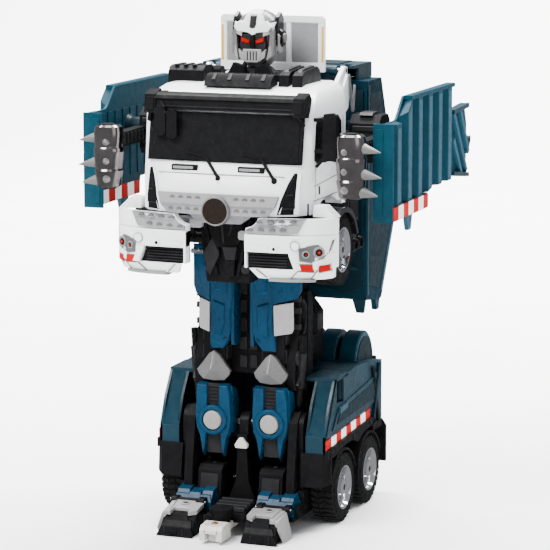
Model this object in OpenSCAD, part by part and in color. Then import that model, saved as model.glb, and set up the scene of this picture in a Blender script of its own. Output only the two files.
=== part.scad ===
/* [Wheels] */
// Outer diameter of every tyre
tyre_d = 60; // [58:0.5:60]
// Width of every tyre
tyre_w = 22; // [20:0.5:22]
// Outer diameter of the rims
rim_d = 38; // [34:1:40]
// Diameter of the wheel axles
axle_d = 5; // [4:0.5:6]

/* [Rear chassis] */
// Distance from the centre plane to the outer face of a rear wheel
rear_track = 80; // [80:0.5:81]
// Place of the first rear axle along the chassis
axle_a_y = -37; // [-38:0.5:-36]
// Distance between the two rear axles
axle_gap = 70; // [68:0.5:71]
// Half the width of the rear body shell
shell_half_w = 76; // [76:0.5:78]
// Wall thickness of the shells
wall = 2.5; // [2:0.25:3]

/* [Legs] */
// Place of both leg hinges along the robot's depth
leg_y = -62; // [-62.5:0.25:-61.5]
// Height of the lower leg hinge
leg_low_z = 87; // [86.5:0.25:87.5]
// Height of the hip hinge
hip_z = 300; // [299.5:0.25:300.5]
// Diameter of the two leg hinge pins
leg_pin_d = 8; // [6:0.5:8]

/* [Cab] */
// Width of the truck cab
cab_w = 150; // [150:0.5:151]
// Distance that each bumper half is moved out from the closed place
bumper_out = 26; // [26:0.5:28]
// Radius of the opening in the cab roof
roof_hole_r = 31; // [30:0.5:32]

/* [Head and arms] */
// Overall height of the robot
head_top_z = 440; // [438:0.5:442]
// Distance from the centre plane to the outside of a side panel
panel_out_x = 140; // [140:0.5:142]

/* [Hidden] */
$fn = 48;

run_gap = 0.05;          // radial clearance of every turning fit
tyre_r = tyre_d / 2;
rim_r = rim_d / 2;
axle_r = axle_d / 2;
axle_b_y = axle_a_y + axle_gap;
leg_pin_r = leg_pin_d / 2;
floor_z = 12;            // underside of the chassis floor plate
floor_t = 3;
cab_half = cab_w / 2;
badge_r = 11.5;          // round disc on the grille
badge_z = 280;
bumper_travel = 25;      // how far each bumper half slides in as the cab closes
front_wheel_y = -70;     // front wheels, in the places they have while the robot stands
front_wheel_z = 243;
front_wheel_x = 67;
rod_y = -104;            // rods that the bumper halves slide on
rod_z = 268;
rod_r = 2.5;
shoulder_y = -14;
shoulder_z = 333;
elbow_y = -100;
elbow_z = 330;
box_pin_y = 10;          // hinge of the truck body behind the cab
box_pin_z = 386;
leg_r = 9;               // half the depth of a leg beam
head_y = -33;
gauntlet_x = 108;
panel_in_x = 130;        // inner face of a side panel
neck_top_z = 391;
toe_pin_y = -103;
toe_pin_z = 23;
roller_y = -139.5;
roller_r = 6;
flap_pin_y = 1.5;
flap_pin_z = 381;

teal = [0.03, 0.30, 0.38];
blue = [0.05, 0.32, 0.48];
black = [0.10, 0.10, 0.11];
white = [0.93, 0.93, 0.92];
silver = [0.70, 0.70, 0.71];
steel = [0.55, 0.56, 0.58];

// Side outline of the rear shell, as [depth, height]
shell_pts = [[-77, 68], [-77, 82], [-66, 106], [-52, 128], [4, 129], [60, 124], [78, 121],
             [78, 62], [60, 64], [44, 74]];
shell_in_pts = [[-77 + wall, 60], [-77 + wall, 81.5], [-64, 104.5], [-50.5, 125.5], [4, 126.5],
                [60, 121.5], [78 - wall, 118.8], [78 - wall, 60]];
// Side outline of the cab, as [depth, height]
screen_low = [-116.5, 318];
screen_high = [-109, 359];
roof_front = [-92, 374];
cab_face_y = -132;
cab_back_y = -20;
cab_pts = [[cab_face_y, 277], [cab_face_y, 290], screen_low, screen_high, roof_front, [-70, 380],
           [-24, 379], [cab_back_y, 368], [cab_back_y, 286], [-122, 286], [-128, 277]];
cab_in_pts = [[cab_face_y + wall, 270], [cab_face_y + wall, 289.3], [-114, 317.2], [-106.6, 357.8],
              [-90.8, 371.6], [-69.6, 377.4], [cab_back_y - wall, 376.5], [cab_back_y - wall, 270]];

function screen_y(z) = screen_low[0] + (screen_high[0] - screen_low[0])
                       * (z - screen_low[1]) / (screen_high[1] - screen_low[1]);

// Extrudes a [depth, height] outline across the robot from x0 to x1
module across(x0, x1, pts) {
    translate([x0, 0, 0]) rotate([90, 0, 90]) linear_extrude(x1 - x0) polygon(pts);
}

// Extrudes an [across, height] outline through the robot's depth from y0 to y1
module deep(y0, y1, pts) {
    translate([0, y1, 0]) rotate([90, 0, 0]) linear_extrude(y1 - y0) polygon(pts);
}

// A cylinder that lies across the robot
module rod(x0, x1, y, z, r) {
    translate([x0, y, z]) rotate([0, 90, 0]) cylinder(h = x1 - x0, r = r);
}

module box(low, high) {
    translate(low) cube(high - low);
}

// The left side of the robot is +X
module side(s) {
    if (s > 0) children();
    else mirror([1, 0, 0]) children();
}

module both() {
    children();
    mirror([1, 0, 0]) children();
}

// Turns a wheel profile of [radius, width] so that its axle lies across the robot
module wheel_turn(x, y, z) {
    translate([x, y, z]) rotate([0, 90, 0]) rotate_extrude() children();
}

// ---- rear chassis ----

module chassis_frame() {
    ear_r = 12;
    color(black) difference() {
        union() {
            box([-46, -101, floor_z], [46, 76, floor_z + floor_t]);
            box([-56, -101, floor_z], [56, -50, floor_z + floor_t]);
            both() {
                box([40, -60, floor_z + floor_t], [46, 69, 42]);
                box([51, leg_y - ear_r, floor_z + floor_t], [55, leg_y + ear_r, leg_low_z]);
                rod(51, 55, leg_y, leg_low_z, ear_r);
                box([18, -78, floor_z + floor_t], [38, -54, 46]);
            }
            for (y = [-4, 66])
                deep(y, y + 3, [[-55, 15], [55, 15], [55, 64], [shell_half_w - wall, 64],
                                [shell_half_w - wall, 112], [wall - shell_half_w, 112],
                                [wall - shell_half_w, 64], [-55, 64]]);
            deep(leg_y - 9, leg_y + 9, [[-14, 15], [14, 15], [4, 42], [4, 90], [-4, 90], [-4, 42]]);
            rod(-4, 4, leg_y, leg_low_z, ear_r - 3);
        }
        rod(-60, 60, leg_y, leg_low_z, leg_pin_r);
        for (y = [axle_a_y, axle_b_y]) rod(-60, 60, y, tyre_r, axle_r);
    }
}

module leg_hinge_pin() {
    color(steel) rod(-56.5, 56.5, leg_y, leg_low_z, leg_pin_r);
}

module rear_shell() {
    inner_x = 58;
    color(teal) {
        difference() {
            across(-shell_half_w, shell_half_w, shell_pts);
            across(wall - shell_half_w, shell_half_w - wall, shell_in_pts);
            box([-inner_x, -90, 50], [inner_x, -18, 140]);
            box([33, 70, 94.5], [47, 90, 101.5]);
        }
        both() difference() {
            across(inner_x, inner_x + wall, shell_pts);
            box([0, -16, 50], [90, 90, 140]);
        }
    }
}

// Row of half drums over the deck, open underneath
module shell_ribs() {
    mid_y = 51.5;
    long = 26.5;
    base_z = 121;
    rise = 30;
    drum_half = 70;
    function drum(t) = [for (a = [0 : 12 : 180]) [mid_y + (long - t) * cos(a), base_z + (rise - t) * sin(a)]];
    color(teal) difference() {
        union() {
            across(-drum_half, drum_half, drum(4.5));
            for (i = [-3 : 3]) across(20 * i - 8, 20 * i + 8, drum(0));
        }
        across(wall - drum_half, drum_half - wall, drum(4.5 + wall));
        across(-90, 90, shell_pts);
    }
}

module wheel_arches() {
    color(black) both() {
        difference() {
            across(60, shell_half_w + 2, [[-77, 62], [-77, 68], [44, 74], [60, 64], [60, 62]]);
            across(0, shell_half_w - wall, [[-74, 50], [-74, 70], [70, 90], [70, 50]]);
            across(0, 90, shell_pts);
        }
        box([56, -77, 38], [shell_half_w, -74, 62]);
        deep(78, 81, [[56, 27], [80, 27], [80, 60], [shell_half_w, 66], [56, 66]]);
    }
}

module rear_axles() {
    color(steel) for (y = [axle_a_y, axle_b_y])
        rod(1 - rear_track, rear_track - 1, y, tyre_r, axle_r);
}

module gearboxes() {
    color(black) {
        difference() {
            box([-20, axle_b_y - 15, floor_z + floor_t], [20, axle_b_y + 15, 41]);
            rod(-30, 30, axle_b_y, tyre_r, axle_r);
        }
        box([-30, -24, floor_z + floor_t], [30, -6, 58]);
    }
}

module battery_pack() {
    color("orange") box([-44, 4, 42], [44, 62, 64]);
}

module battery_door() {
    color(black) box([-25, 4, floor_z - 1.5], [25, 60, floor_z]);
}

module circuit_board() {
    color("green") {
        box([-35, 8, 92], [35, 58, 93.6]);
        for (x = [-30, 30], y = [12, 54]) translate([x, y, 64]) cylinder(h = 28, r = 3);
    }
}

module speaker() {
    color(black) translate([0, 33, 64]) cylinder(h = 14, r = 15);
}

module ankle_covers() {
    color(blue) both() {
        box([22, -98, floor_z + floor_t], [56, -79, 27]);
        box([39, -79, floor_z + floor_t], [50, -60, 27]);
        for (x = [24, 48.5]) {
            box([x, toe_pin_y, toe_pin_z - 3.5], [x + 5.5, -98, toe_pin_z + 3.5]);
            rod(x, x + 5.5, toe_pin_y, toe_pin_z, 3.5);
        }
        rod(24, 54, toe_pin_y, toe_pin_z, 2);
    }
}

module caster_mount() {
    half = 10;
    front_y = -150;
    color(white) {
        difference() {
            box([-half, front_y, 2.5], [half, -129, 17]);
            box([-4.8, front_y + 3, 0], [4.8, -131.5, 14]);
        }
        rod(-half, half, roller_y, roller_r, 1.5);
        translate([0, -124, 8]) cylinder(h = 20, r1 = 7, r2 = 9);
        box([-8, -129, 8], [8, -101, 20]);
    }
}

module caster_roller() {
    color(white) difference() {
        rod(-4.4, 4.4, roller_y, roller_r, roller_r);
        rod(-5, 5, roller_y, roller_r, 1.5 + run_gap);
    }
}

module power_switch() {
    color(black) {
        box([34, 75.4, 95.5], [41, 80.5, 100.5]);
        box([30, 72.5, 92], [46, 75.4, 104]);
    }
}

// ---- wheels ----

module tyre(x, y, z) {
    bevel = 2.5;
    color(black) wheel_turn(x, y, z)
        polygon([[rim_r, 0], [tyre_r - bevel, 0], [tyre_r, bevel], [tyre_r, tyre_w - bevel],
                 [tyre_r - bevel, tyre_w], [rim_r, tyre_w]]);
}

module rim(x, y, z) {
    bore_r = axle_r + run_gap;
    holes = 8;
    color(silver) difference() {
        wheel_turn(x, y, z)
            polygon([[bore_r, 2], [9, 2], [9, 9], [rim_r - 3, 9], [rim_r - 3, 0], [rim_r, 0],
                     [rim_r, tyre_w], [rim_r - 2, tyre_w], [rim_r - 5, tyre_w - 7],
                     [8, tyre_w - 7], [6.5, tyre_w - 1], [bore_r, tyre_w - 1]]);
        for (i = [0 : holes - 1])
            translate([x - 1, y, z]) rotate([360 / holes * i, 0, 0]) translate([0, 11.5, 0])
                rotate([0, 90, 0]) cylinder(h = tyre_w + 2, r = 1.8, $fn = 16);
    }
}

module rear_wheel_place(s, y) {
    side(s) translate([rear_track - tyre_w, y, tyre_r]) children();
}

module front_wheel_place(s) {
    side(s) translate([front_wheel_x, front_wheel_y, front_wheel_z]) children();
}

module tyre_rear_a_left() { rear_wheel_place(1, axle_a_y) tyre(0, 0, 0); }
module tyre_rear_a_right() { rear_wheel_place(-1, axle_a_y) tyre(0, 0, 0); }
module tyre_rear_b_left() { rear_wheel_place(1, axle_b_y) tyre(0, 0, 0); }
module tyre_rear_b_right() { rear_wheel_place(-1, axle_b_y) tyre(0, 0, 0); }
module tyre_front_left() { front_wheel_place(1) tyre(0, 0, 0); }
module tyre_front_right() { front_wheel_place(-1) tyre(0, 0, 0); }
module rim_rear_a_left() { rear_wheel_place(1, axle_a_y) rim(0, 0, 0); }
module rim_rear_a_right() { rear_wheel_place(-1, axle_a_y) rim(0, 0, 0); }
module rim_rear_b_left() { rear_wheel_place(1, axle_b_y) rim(0, 0, 0); }
module rim_rear_b_right() { rear_wheel_place(-1, axle_b_y) rim(0, 0, 0); }
module rim_front_left() { front_wheel_place(1) rim(0, 0, 0); }
module rim_front_right() { front_wheel_place(-1) rim(0, 0, 0); }

// ---- feet ----

module toe(s) {
    knuckle_r = 3.5;
    color(black) side(s) difference() {
        union() {
            across(21, 57, [[-137, 0], [-137, 8], [-129, 14], [-126, 20], [-108.5, 23], [-108.5, 0]]);
            rod(30, 48, toe_pin_y, toe_pin_z, knuckle_r);
            across(30, 48, [[-109, 14], [-109, 22], [toe_pin_y, toe_pin_z + knuckle_r],
                            [toe_pin_y, toe_pin_z - knuckle_r]]);
        }
        rod(28, 50, toe_pin_y, toe_pin_z, 2 + run_gap);
    }
}

module toe_left() { toe(1); }
module toe_right() { toe(-1); }

// ---- legs ----

module leg_frames() {
    pocket_h = 42;
    color(black) both() difference() {
        union() {
            box([16, leg_y - leg_r, leg_low_z], [38, leg_y + leg_r, hip_z]);
            rod(16, 38, leg_y, leg_low_z, leg_r);
            rod(16, 38, leg_y, hip_z, leg_r);
        }
        for (i = [0 : 3], low = leg_low_z + 14 + (pocket_h + 4) * i)
            box([16 + wall, leg_y - leg_r + wall, low], [38 - wall, leg_y + leg_r + 1, low + pocket_h]);
        rod(10, 45, leg_y, leg_low_z, leg_pin_r + run_gap);
        rod(10, 45, leg_y, hip_z, leg_pin_r + run_gap);
    }
}

module thigh_covers() {
    face_y = leg_y - leg_r;
    color(blue) both() {
        deep(face_y - 6, face_y, [[6, 240], [49, 240], [49, 195], [44, 188], [42, 165], [33, 149],
                                  [21, 149], [12, 163], [8, 190]]);
        box([38, face_y, 166], [42, face_y + 18, 205]);
    }
}

module knee_caps() {
    mid_x = 26;
    face_y = leg_y - leg_r;
    color(silver) both() hull() {
        deep(face_y - 4, face_y, [[mid_x, 148], [mid_x + 15.5, 133], [mid_x + 11, 124],
                                  [mid_x, 122], [mid_x - 11, 124], [mid_x - 15.5, 133]]);
        box([mid_x - 0.5, face_y - 11, 128], [mid_x + 0.5, face_y - 10, 134]);
    }
}

module shin_covers() {
    mid_x = 26;
    face_y = leg_y - leg_r;
    color(blue) both() {
        deep(face_y - 8, face_y, [[mid_x - 15, 121], [mid_x + 15, 121], [mid_x + 16.5, 93], [mid_x + 14, 75],
                        [mid_x + 8, 57], [mid_x + 5, 75], [mid_x - 5, 75], [mid_x - 8, 57],
                        [mid_x - 14, 75], [mid_x - 16.5, 93]]);
        translate([mid_x, face_y - 8, 90]) rotate([90, 0, 0]) cylinder(h = 2.5, r = 9.2);
    }
}

// Cross bar, columns beside the legs and the hollow back frames behind them
module leg_struts() {
    back_y = leg_y + leg_r;
    column_back = back_y + 20;
    column_in = 40;
    frame_front = -5;
    frame_back = 15;
    frame_in = 10;
    frame_out = 43;
    frame_low = 131;
    step_x = 27;           // where the tall inner part ends and the top slants down
    color(black) {
        box([-38, back_y, 160], [38, back_y + 6, 175]);
        both() {
            box([5, leg_y - 2, 128], [16, back_y, 238]);
            box([32, back_y, 112], [44, back_y + 6, 158]);
            across(column_in, 50, [[back_y + 6, 108], [column_back, 122], [column_back, 194],
                                   [column_back - 6, 202], [back_y + 6, 202]]);
            box([column_in, column_back, 140], [frame_out, frame_front, 158]);
            difference() {
                deep(frame_front, frame_back,
                     [[frame_in, frame_low], [frame_out, frame_low], [frame_out, 175], [step_x, 196],
                      [step_x, 215], [frame_in, 215]]);
                deep(frame_front + wall, frame_back + 1,
                     [[frame_in + wall, frame_low + wall], [frame_out - wall, frame_low + wall],
                      [frame_out - wall, 174], [step_x - wall, 195], [step_x - wall, 212], [frame_in + wall, 212]]);
            }
        }
    }
}

// ---- torso ----

module torso_frame() {
    plate_x = 56;
    plate_t = 4;
    deck_z = 329;
    color(black) difference() {
        union() {
            both() {
                box([plate_x, -95, 281], [plate_x + plate_t, 6, 349]);
                box([plate_x + plate_t, -62, 332], [cab_half - wall, -50, 346]);
                rod(plate_x, 91, shoulder_y, shoulder_z, leg_pin_r);
            }
            box([-plate_x, -95, deck_z], [plate_x, 6, deck_z + 3]);
            box([-plate_x, -95, 283], [plate_x, -91, 349]);
        }
        rod(-70, 70, leg_y, hip_z, leg_pin_r);
        box([-3.9, head_y - 17.4, 320], [3.9, head_y + 7.4, 340]);
    }
}

module waist_block() {
    color(black) {
        deep(-112, -84, [[-25, 283], [25, 283], [25, 250], [20, 215], [-20, 215], [-25, 250]]);
        both() rod(20, 66.5, rod_y, rod_z, rod_r);
    }
}

module torso_pins() {
    color(steel) {
        rod(-60, 60, leg_y, hip_z, leg_pin_r);
        rod(-64, 64, box_pin_y, box_pin_z, 2);
    }
}

// The cab's outline seen from above, drawn in by the wall thickness t
module cab_plan(t, low, high) {
    translate([0, 0, low]) linear_extrude(high - low)
        polygon([[t - cab_half, 20], [t - cab_half, -118 + t * 0.4], [t * 0.4 - 50, -140 + t],
                 [50 - t * 0.4, -140 + t], [cab_half - t, -118 + t * 0.4], [cab_half - t, 20]]);
}

module cab_shell() {
    color(white) difference() {
        union() {
            difference() {
                intersection() {
                    across(-cab_half, cab_half, cab_pts);
                    cab_plan(0, 270, 390);
                }
                intersection() {
                    across(wall - cab_half, cab_half - wall, cab_in_pts);
                    cab_plan(wall, 260, 390);
                }
                translate([0, head_y, 330]) cylinder(h = 60, r = roof_hole_r);
                box([-60.5, -30, 270], [60.5, -10, 349.5]);
            }
            both() {
                across(60, 64, [[cab_back_y, 353], [-6, 356], [box_pin_y + 4, box_pin_z - 2],
                                [box_pin_y + 3, box_pin_z + 3], [box_pin_y - 3, box_pin_z + 4],
                                [cab_back_y, 368]]);
                across(37, 41, [[-22, 373.5], [cab_back_y, 368], [4, flap_pin_z - 3],
                                [4, flap_pin_z + 3], [-2, flap_pin_z + 3], [-22, 378.9]]);
                deep(-106, -98, [[cab_half, 286], [cab_half + 9, 286], [cab_half, 303]]);
            }
            rod(-41, 41, flap_pin_y, flap_pin_z, 1.5);
        }
        rod(-70, 70, box_pin_y, box_pin_z, 2);
    }
}

module cab_windows() {
    proud = 1.5;
    low = 320;
    high = 358;
    color(black) {
        across(-66, 66, [[screen_y(low), low], [screen_y(low) - proud, low],
                         [screen_y(high) - proud, high], [screen_y(high), high]]);
        both() across(cab_half, cab_half + 1.2, [[-111, 322], [-105, 356], [-40, 350], [-34, 344],
                                                 [-34, 319], [-62, 316]]);
    }
}

module sun_visor() {
    front_y = -114;
    color(black) across(-71, 71, [screen_high, roof_front, [-95, 379], [front_y, 366], [front_y, 359]]);
}

module grille_panel() {
    color(silver) box([-50, cab_face_y - 3, 277], [50, cab_face_y, 290]);
}

module badge() {
    color("saddlebrown") translate([0, cab_face_y - 3, badge_z]) rotate([90, 0, 0])
        cylinder(h = 3, r = badge_r);
}

module mirrors() {
    color(black) {
        box([81.5, -104, 321], [94.5, -100, 361]);
        box([cab_half, -103, 356.5], [81.5, -101, 360]);
        box([-61, -121, 340], [-50.5, -118, 364]);
        box([-50.5, -121, 338], [-40, -118, 361]);
        box([-60, -118, 360], [-54, -114, 364]);
    }
}

module side_tanks() {
    color(silver) both() {
        box([56, -18, 256], [cab_half + 1, 16, 281]);
        box([72, -8, 228], [78, 4, 256]);
        rod(58, 75, 10, 249, 6.5);
    }
}

module roof_armour() {
    color(black) difference() {
        union() {
            box([-71, -68, 370], [-36, -40, 393]);
            across(-52, -33, [[-38, 370], [-38, 390], [-26, 390], [-24.5, 384], [-24.5, 370]]);
            across(-30, 30, [[-84, 370], [-80, 386], [-70, 388], [-68, 370]]);
            for (x = [34, 46]) across(x, x + 8, [[-76, 370], [-74, 390], [-32, 393], [-26, 370]]);
            box([-90, cab_back_y + 0.5, 366.5], [-64, -3, 388]);
        }
        across(-90, 90, cab_pts);
        translate([0, head_y, 360]) cylinder(h = 40, r = roof_hole_r + 1);
    }
}

// ---- front quarters: bumper half, fender and wheel carrier ----

module bumper(s) {
    x0 = bumper_out;
    color(white) side(s) {
        difference() {
            translate([0, 0, 225]) linear_extrude(51)
                polygon([[x0, -138], [58, -137], [84, -129], [101, -114], [101, -98], [95, -98],
                         [91, -110], [72, -124], [58, -124], [x0, -126]]);
            deep(-150, -100, [[x0 - 2, 224], [x0 + 12, 224], [x0 - 2, 240]]);
            translate([bumper_travel, cab_face_y - 2, badge_z]) rotate([90, 0, 0])
                cylinder(h = 10, r = badge_r + 1);
        }
        deep(-110, -98, [[77, 276], [101, 276], [99, 279], [86, 285.4], [77, 285.4]]);
    }
}

module bumper_left() { bumper(1); }
module bumper_right() { bumper(-1); }

module wheel_carrier(s) {
    plate_x = 62;
    plate_t = 3;
    fender_r = 36;
    color(black) side(s) difference() {
        union() {
            box([plate_x, -116, 234], [plate_x + plate_t, -42, 276]);
            box([plate_x, -124, 238], [plate_x + 8, -116, 264]);
            rod(plate_x, front_wheel_x + tyre_w - 1, front_wheel_y, front_wheel_z, axle_r);
            difference() {
                rod(plate_x + plate_t, 90, front_wheel_y, front_wheel_z, fender_r);
                rod(plate_x, 95, front_wheel_y, front_wheel_z, fender_r - 3);
                box([0, -120, 190], [120, 0, front_wheel_z + 12]);
            }
        }
        rod(50, 80, rod_y, rod_z, rod_r + run_gap);
    }
}

module wheel_carrier_left() { wheel_carrier(1); }
module wheel_carrier_right() { wheel_carrier(-1); }

// ---- head ----

module roof_flap() {
    color(white) difference() {
        union() {
            box([-48, -1, flap_pin_z + 4], [48, 3.5, 433]);
            rod(-36, 36, flap_pin_y, flap_pin_z, 3);
            box([-36, -1, flap_pin_z], [36, 3.5, flap_pin_z + 5]);
        }
        rod(-50, 50, flap_pin_y, flap_pin_z, 1.5 + run_gap);
    }
}

module neck() {
    color(black) {
        translate([0, head_y, 383]) cylinder(h = 3.5, r = 28);
        translate([0, head_y, 386.5]) cylinder(h = neck_top_z - 386.5, r = 11);
        translate([0, head_y, neck_top_z]) cylinder(h = 9, r = 4);
        box([-3.5, head_y - 17, 325], [3.5, head_y + 7, 383]);
    }
}

module head() {
    base_z = neck_top_z + 0.5;
    color(black) difference() {
        union() {
            hull() {
                box([-11, head_y - 13, base_z], [11, head_y + 13, base_z + 1]);
                box([-17, head_y - 16, 402], [17, head_y + 15, 424]);
                box([-9, head_y - 12, head_top_z - 3], [9, head_y + 8, head_top_z]);
            }
            both() across(16, 24, [[head_y - 9, 398], [head_y - 9, 424], [head_y - 4, 431],
                                   [head_y + 4, 425], [head_y + 4, 402]]);
        }
        translate([0, head_y, base_z - 1]) cylinder(h = 12, r = 4 + run_gap);
    }
}

// ---- arms and side panels ----

module upper_arm(s) {
    bar_low = gauntlet_x - 5;
    bar_high = gauntlet_x + 5;
    color(black) side(s) difference() {
        union() {
            rod(78, 100, shoulder_y, shoulder_z, 12);
            box([82, -38, 312], [110, -8, 353]);
            box([bar_low, elbow_y, elbow_z - 6], [bar_high, -38, elbow_z + 6]);
            rod(bar_low, bar_high, elbow_y, elbow_z, 6);
            rod(gauntlet_x - 10, gauntlet_x + 10, elbow_y, elbow_z, 3);
            rod(110, panel_in_x, shoulder_y, shoulder_z, 4);
        }
        rod(70, 91.5, shoulder_y, shoulder_z, leg_pin_r + run_gap);
    }
}

module upper_arm_left() { upper_arm(1); }
module upper_arm_right() { upper_arm(-1); }

module gauntlet(s) {
    mid_y = -107;
    color(silver) side(s) difference() {
        union() {
            translate([gauntlet_x, mid_y, 0]) rotate_extrude()
                polygon([[0, 292], [10, 292], [12.5, 304], [13, 318], [13, 334], [11, 345], [0, 345]]);
            for (z = [297, 312, 335])
                translate([gauntlet_x + 9, mid_y - 2, z]) rotate([0, 90, 0])
                    cylinder(h = 16, r1 = 5, r2 = 0.5);
        }
        box([gauntlet_x - 5.6, elbow_y - 8, elbow_z - 8], [gauntlet_x + 5.6, elbow_y + 20, 350]);
        rod(gauntlet_x - 15, gauntlet_x + 10.5, elbow_y, elbow_z, 3 + run_gap);
    }
}

module gauntlet_left() { gauntlet(1); }
module gauntlet_right() { gauntlet(-1); }

module panel(s) {
    sheet_x = panel_in_x;
    rib_pitch = 29;
    tall_back = 86;
    main_pts = [[-91, 270.5], [-91, 352], [-58, 353], [-43, 371], [tall_back, 371], [tall_back, 286],
                [12, 286], [8, 271]];
    color(teal) side(s) difference() {
        union() {
            across(sheet_x, sheet_x + 2, main_pts);
            across(122, 139, [[-91, 270.5], [-91, 352], [-88.5, 352], [-88.5, 270.5]]);
            intersection() {
                across(sheet_x, panel_out_x, main_pts);
                for (i = [0 : 5])
                    translate([sheet_x + 1, -88.5 + rib_pitch * i, 260]) linear_extrude(120)
                        polygon([[0, 0], [panel_out_x - sheet_x - 1, 5],
                                 [panel_out_x - sheet_x - 1, 18], [0, 23]]);
            }
            across(sheet_x, sheet_x + 2, [[-35, 271], [-16, 271], [-22, 255], [-30, 255]]);
            across(sheet_x, sheet_x + 2, [[tall_back, 290], [tall_back, 346], [90, 346], [134, 349],
                                          [142, 330], [142, 300], [138, 282], [90, 288]]);
            across(sheet_x, sheet_x + 5, [[136, 306], [142, 316], [150, 318], [144, 306]]);
            rod(sheet_x - 16, sheet_x + 1, shoulder_y, shoulder_z, 9);
        }
        rod(100, sheet_x + 0.5, shoulder_y, shoulder_z, 4 + run_gap);
    }
}

module panel_left() { panel(1); }
module panel_right() { panel(-1); }

// ---- truck body behind the cab ----

module box_roof() {
    low = 376;
    color(teal) difference() {
        union() {
            difference() {
                box([-70, 12, low], [70, 62, 390]);
                box([wall - 70, 12 + wall, low - 1], [70 - wall, 62 - wall, 390 - wall]);
            }
            both() rod(28, 56, box_pin_y, box_pin_z, 4);
            both() box([28, box_pin_y, box_pin_z - 3.5], [56, 16, box_pin_z + 3.5]);
        }
        rod(-66, 66, box_pin_y, box_pin_z, 2 + run_gap);
        both() box([58.5, 5, low - 2], [65.5, 26, 392]);
    }
}

module box_shell() {
    half = 80;
    color(teal) {
        difference() {
            across(-half, half, [[22, 184], [63, 178], [101, 242], [80, 334], [62, 376], [22, 376]]);
            across(wall - half, half - wall, [[22 + wall, 186.2], [61.8, 180.8], [98.2, 242.3],
                                              [77.5, 333.2], [60.3, 373.5], [22 + wall, 373.5]]);
        }
        both() {
            deep(22, 22 + wall, [[66, 184], [half, 184], [78, 172], [70, 172]]);
            across(half - wall, half, [[50, 180], [63, 178], [60, 170], [53, 170]]);
        }
    }
}

chassis_frame();
leg_hinge_pin();
rear_shell();
shell_ribs();
wheel_arches();
rear_axles();
gearboxes();
battery_pack();
battery_door();
circuit_board();
speaker();
ankle_covers();
caster_mount();
caster_roller();
power_switch();
tyre_rear_a_left();
tyre_rear_a_right();
tyre_rear_b_left();
tyre_rear_b_right();
tyre_front_left();
tyre_front_right();
rim_rear_a_left();
rim_rear_a_right();
rim_rear_b_left();
rim_rear_b_right();
rim_front_left();
rim_front_right();
toe_left();
toe_right();
leg_frames();
thigh_covers();
knee_caps();
shin_covers();
leg_struts();
torso_frame();
waist_block();
torso_pins();
cab_shell();
cab_windows();
sun_visor();
grille_panel();
badge();
mirrors();
side_tanks();
roof_armour();
bumper_left();
bumper_right();
wheel_carrier_left();
wheel_carrier_right();
roof_flap();
neck();
head();
upper_arm_left();
upper_arm_right();
gauntlet_left();
gauntlet_right();
panel_left();
panel_right();
box_roof();
box_shell();
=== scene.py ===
"""Looks of the transforming robot car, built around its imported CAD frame.

Lengths are in millimetres in the row frame: +X is the robot's left, -Y its front, +Z up.
"""
import math

import bmesh
import bpy
from mathutils import Matrix, Vector


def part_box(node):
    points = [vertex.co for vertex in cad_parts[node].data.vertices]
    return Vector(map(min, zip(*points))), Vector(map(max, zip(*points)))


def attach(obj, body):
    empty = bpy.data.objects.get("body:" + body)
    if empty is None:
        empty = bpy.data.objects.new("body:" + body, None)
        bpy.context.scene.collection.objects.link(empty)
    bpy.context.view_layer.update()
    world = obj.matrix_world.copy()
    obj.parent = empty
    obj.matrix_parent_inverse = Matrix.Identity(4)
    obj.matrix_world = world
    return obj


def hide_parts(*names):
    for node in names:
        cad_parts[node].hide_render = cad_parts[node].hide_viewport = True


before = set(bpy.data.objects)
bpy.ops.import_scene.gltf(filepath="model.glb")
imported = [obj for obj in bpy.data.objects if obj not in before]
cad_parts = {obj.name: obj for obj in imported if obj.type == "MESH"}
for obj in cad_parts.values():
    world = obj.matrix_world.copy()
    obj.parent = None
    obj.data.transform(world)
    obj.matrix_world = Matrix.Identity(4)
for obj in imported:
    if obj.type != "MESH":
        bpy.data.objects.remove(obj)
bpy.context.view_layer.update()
MM = 0.001


# ---------------------------------------------------------------- materials

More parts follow.
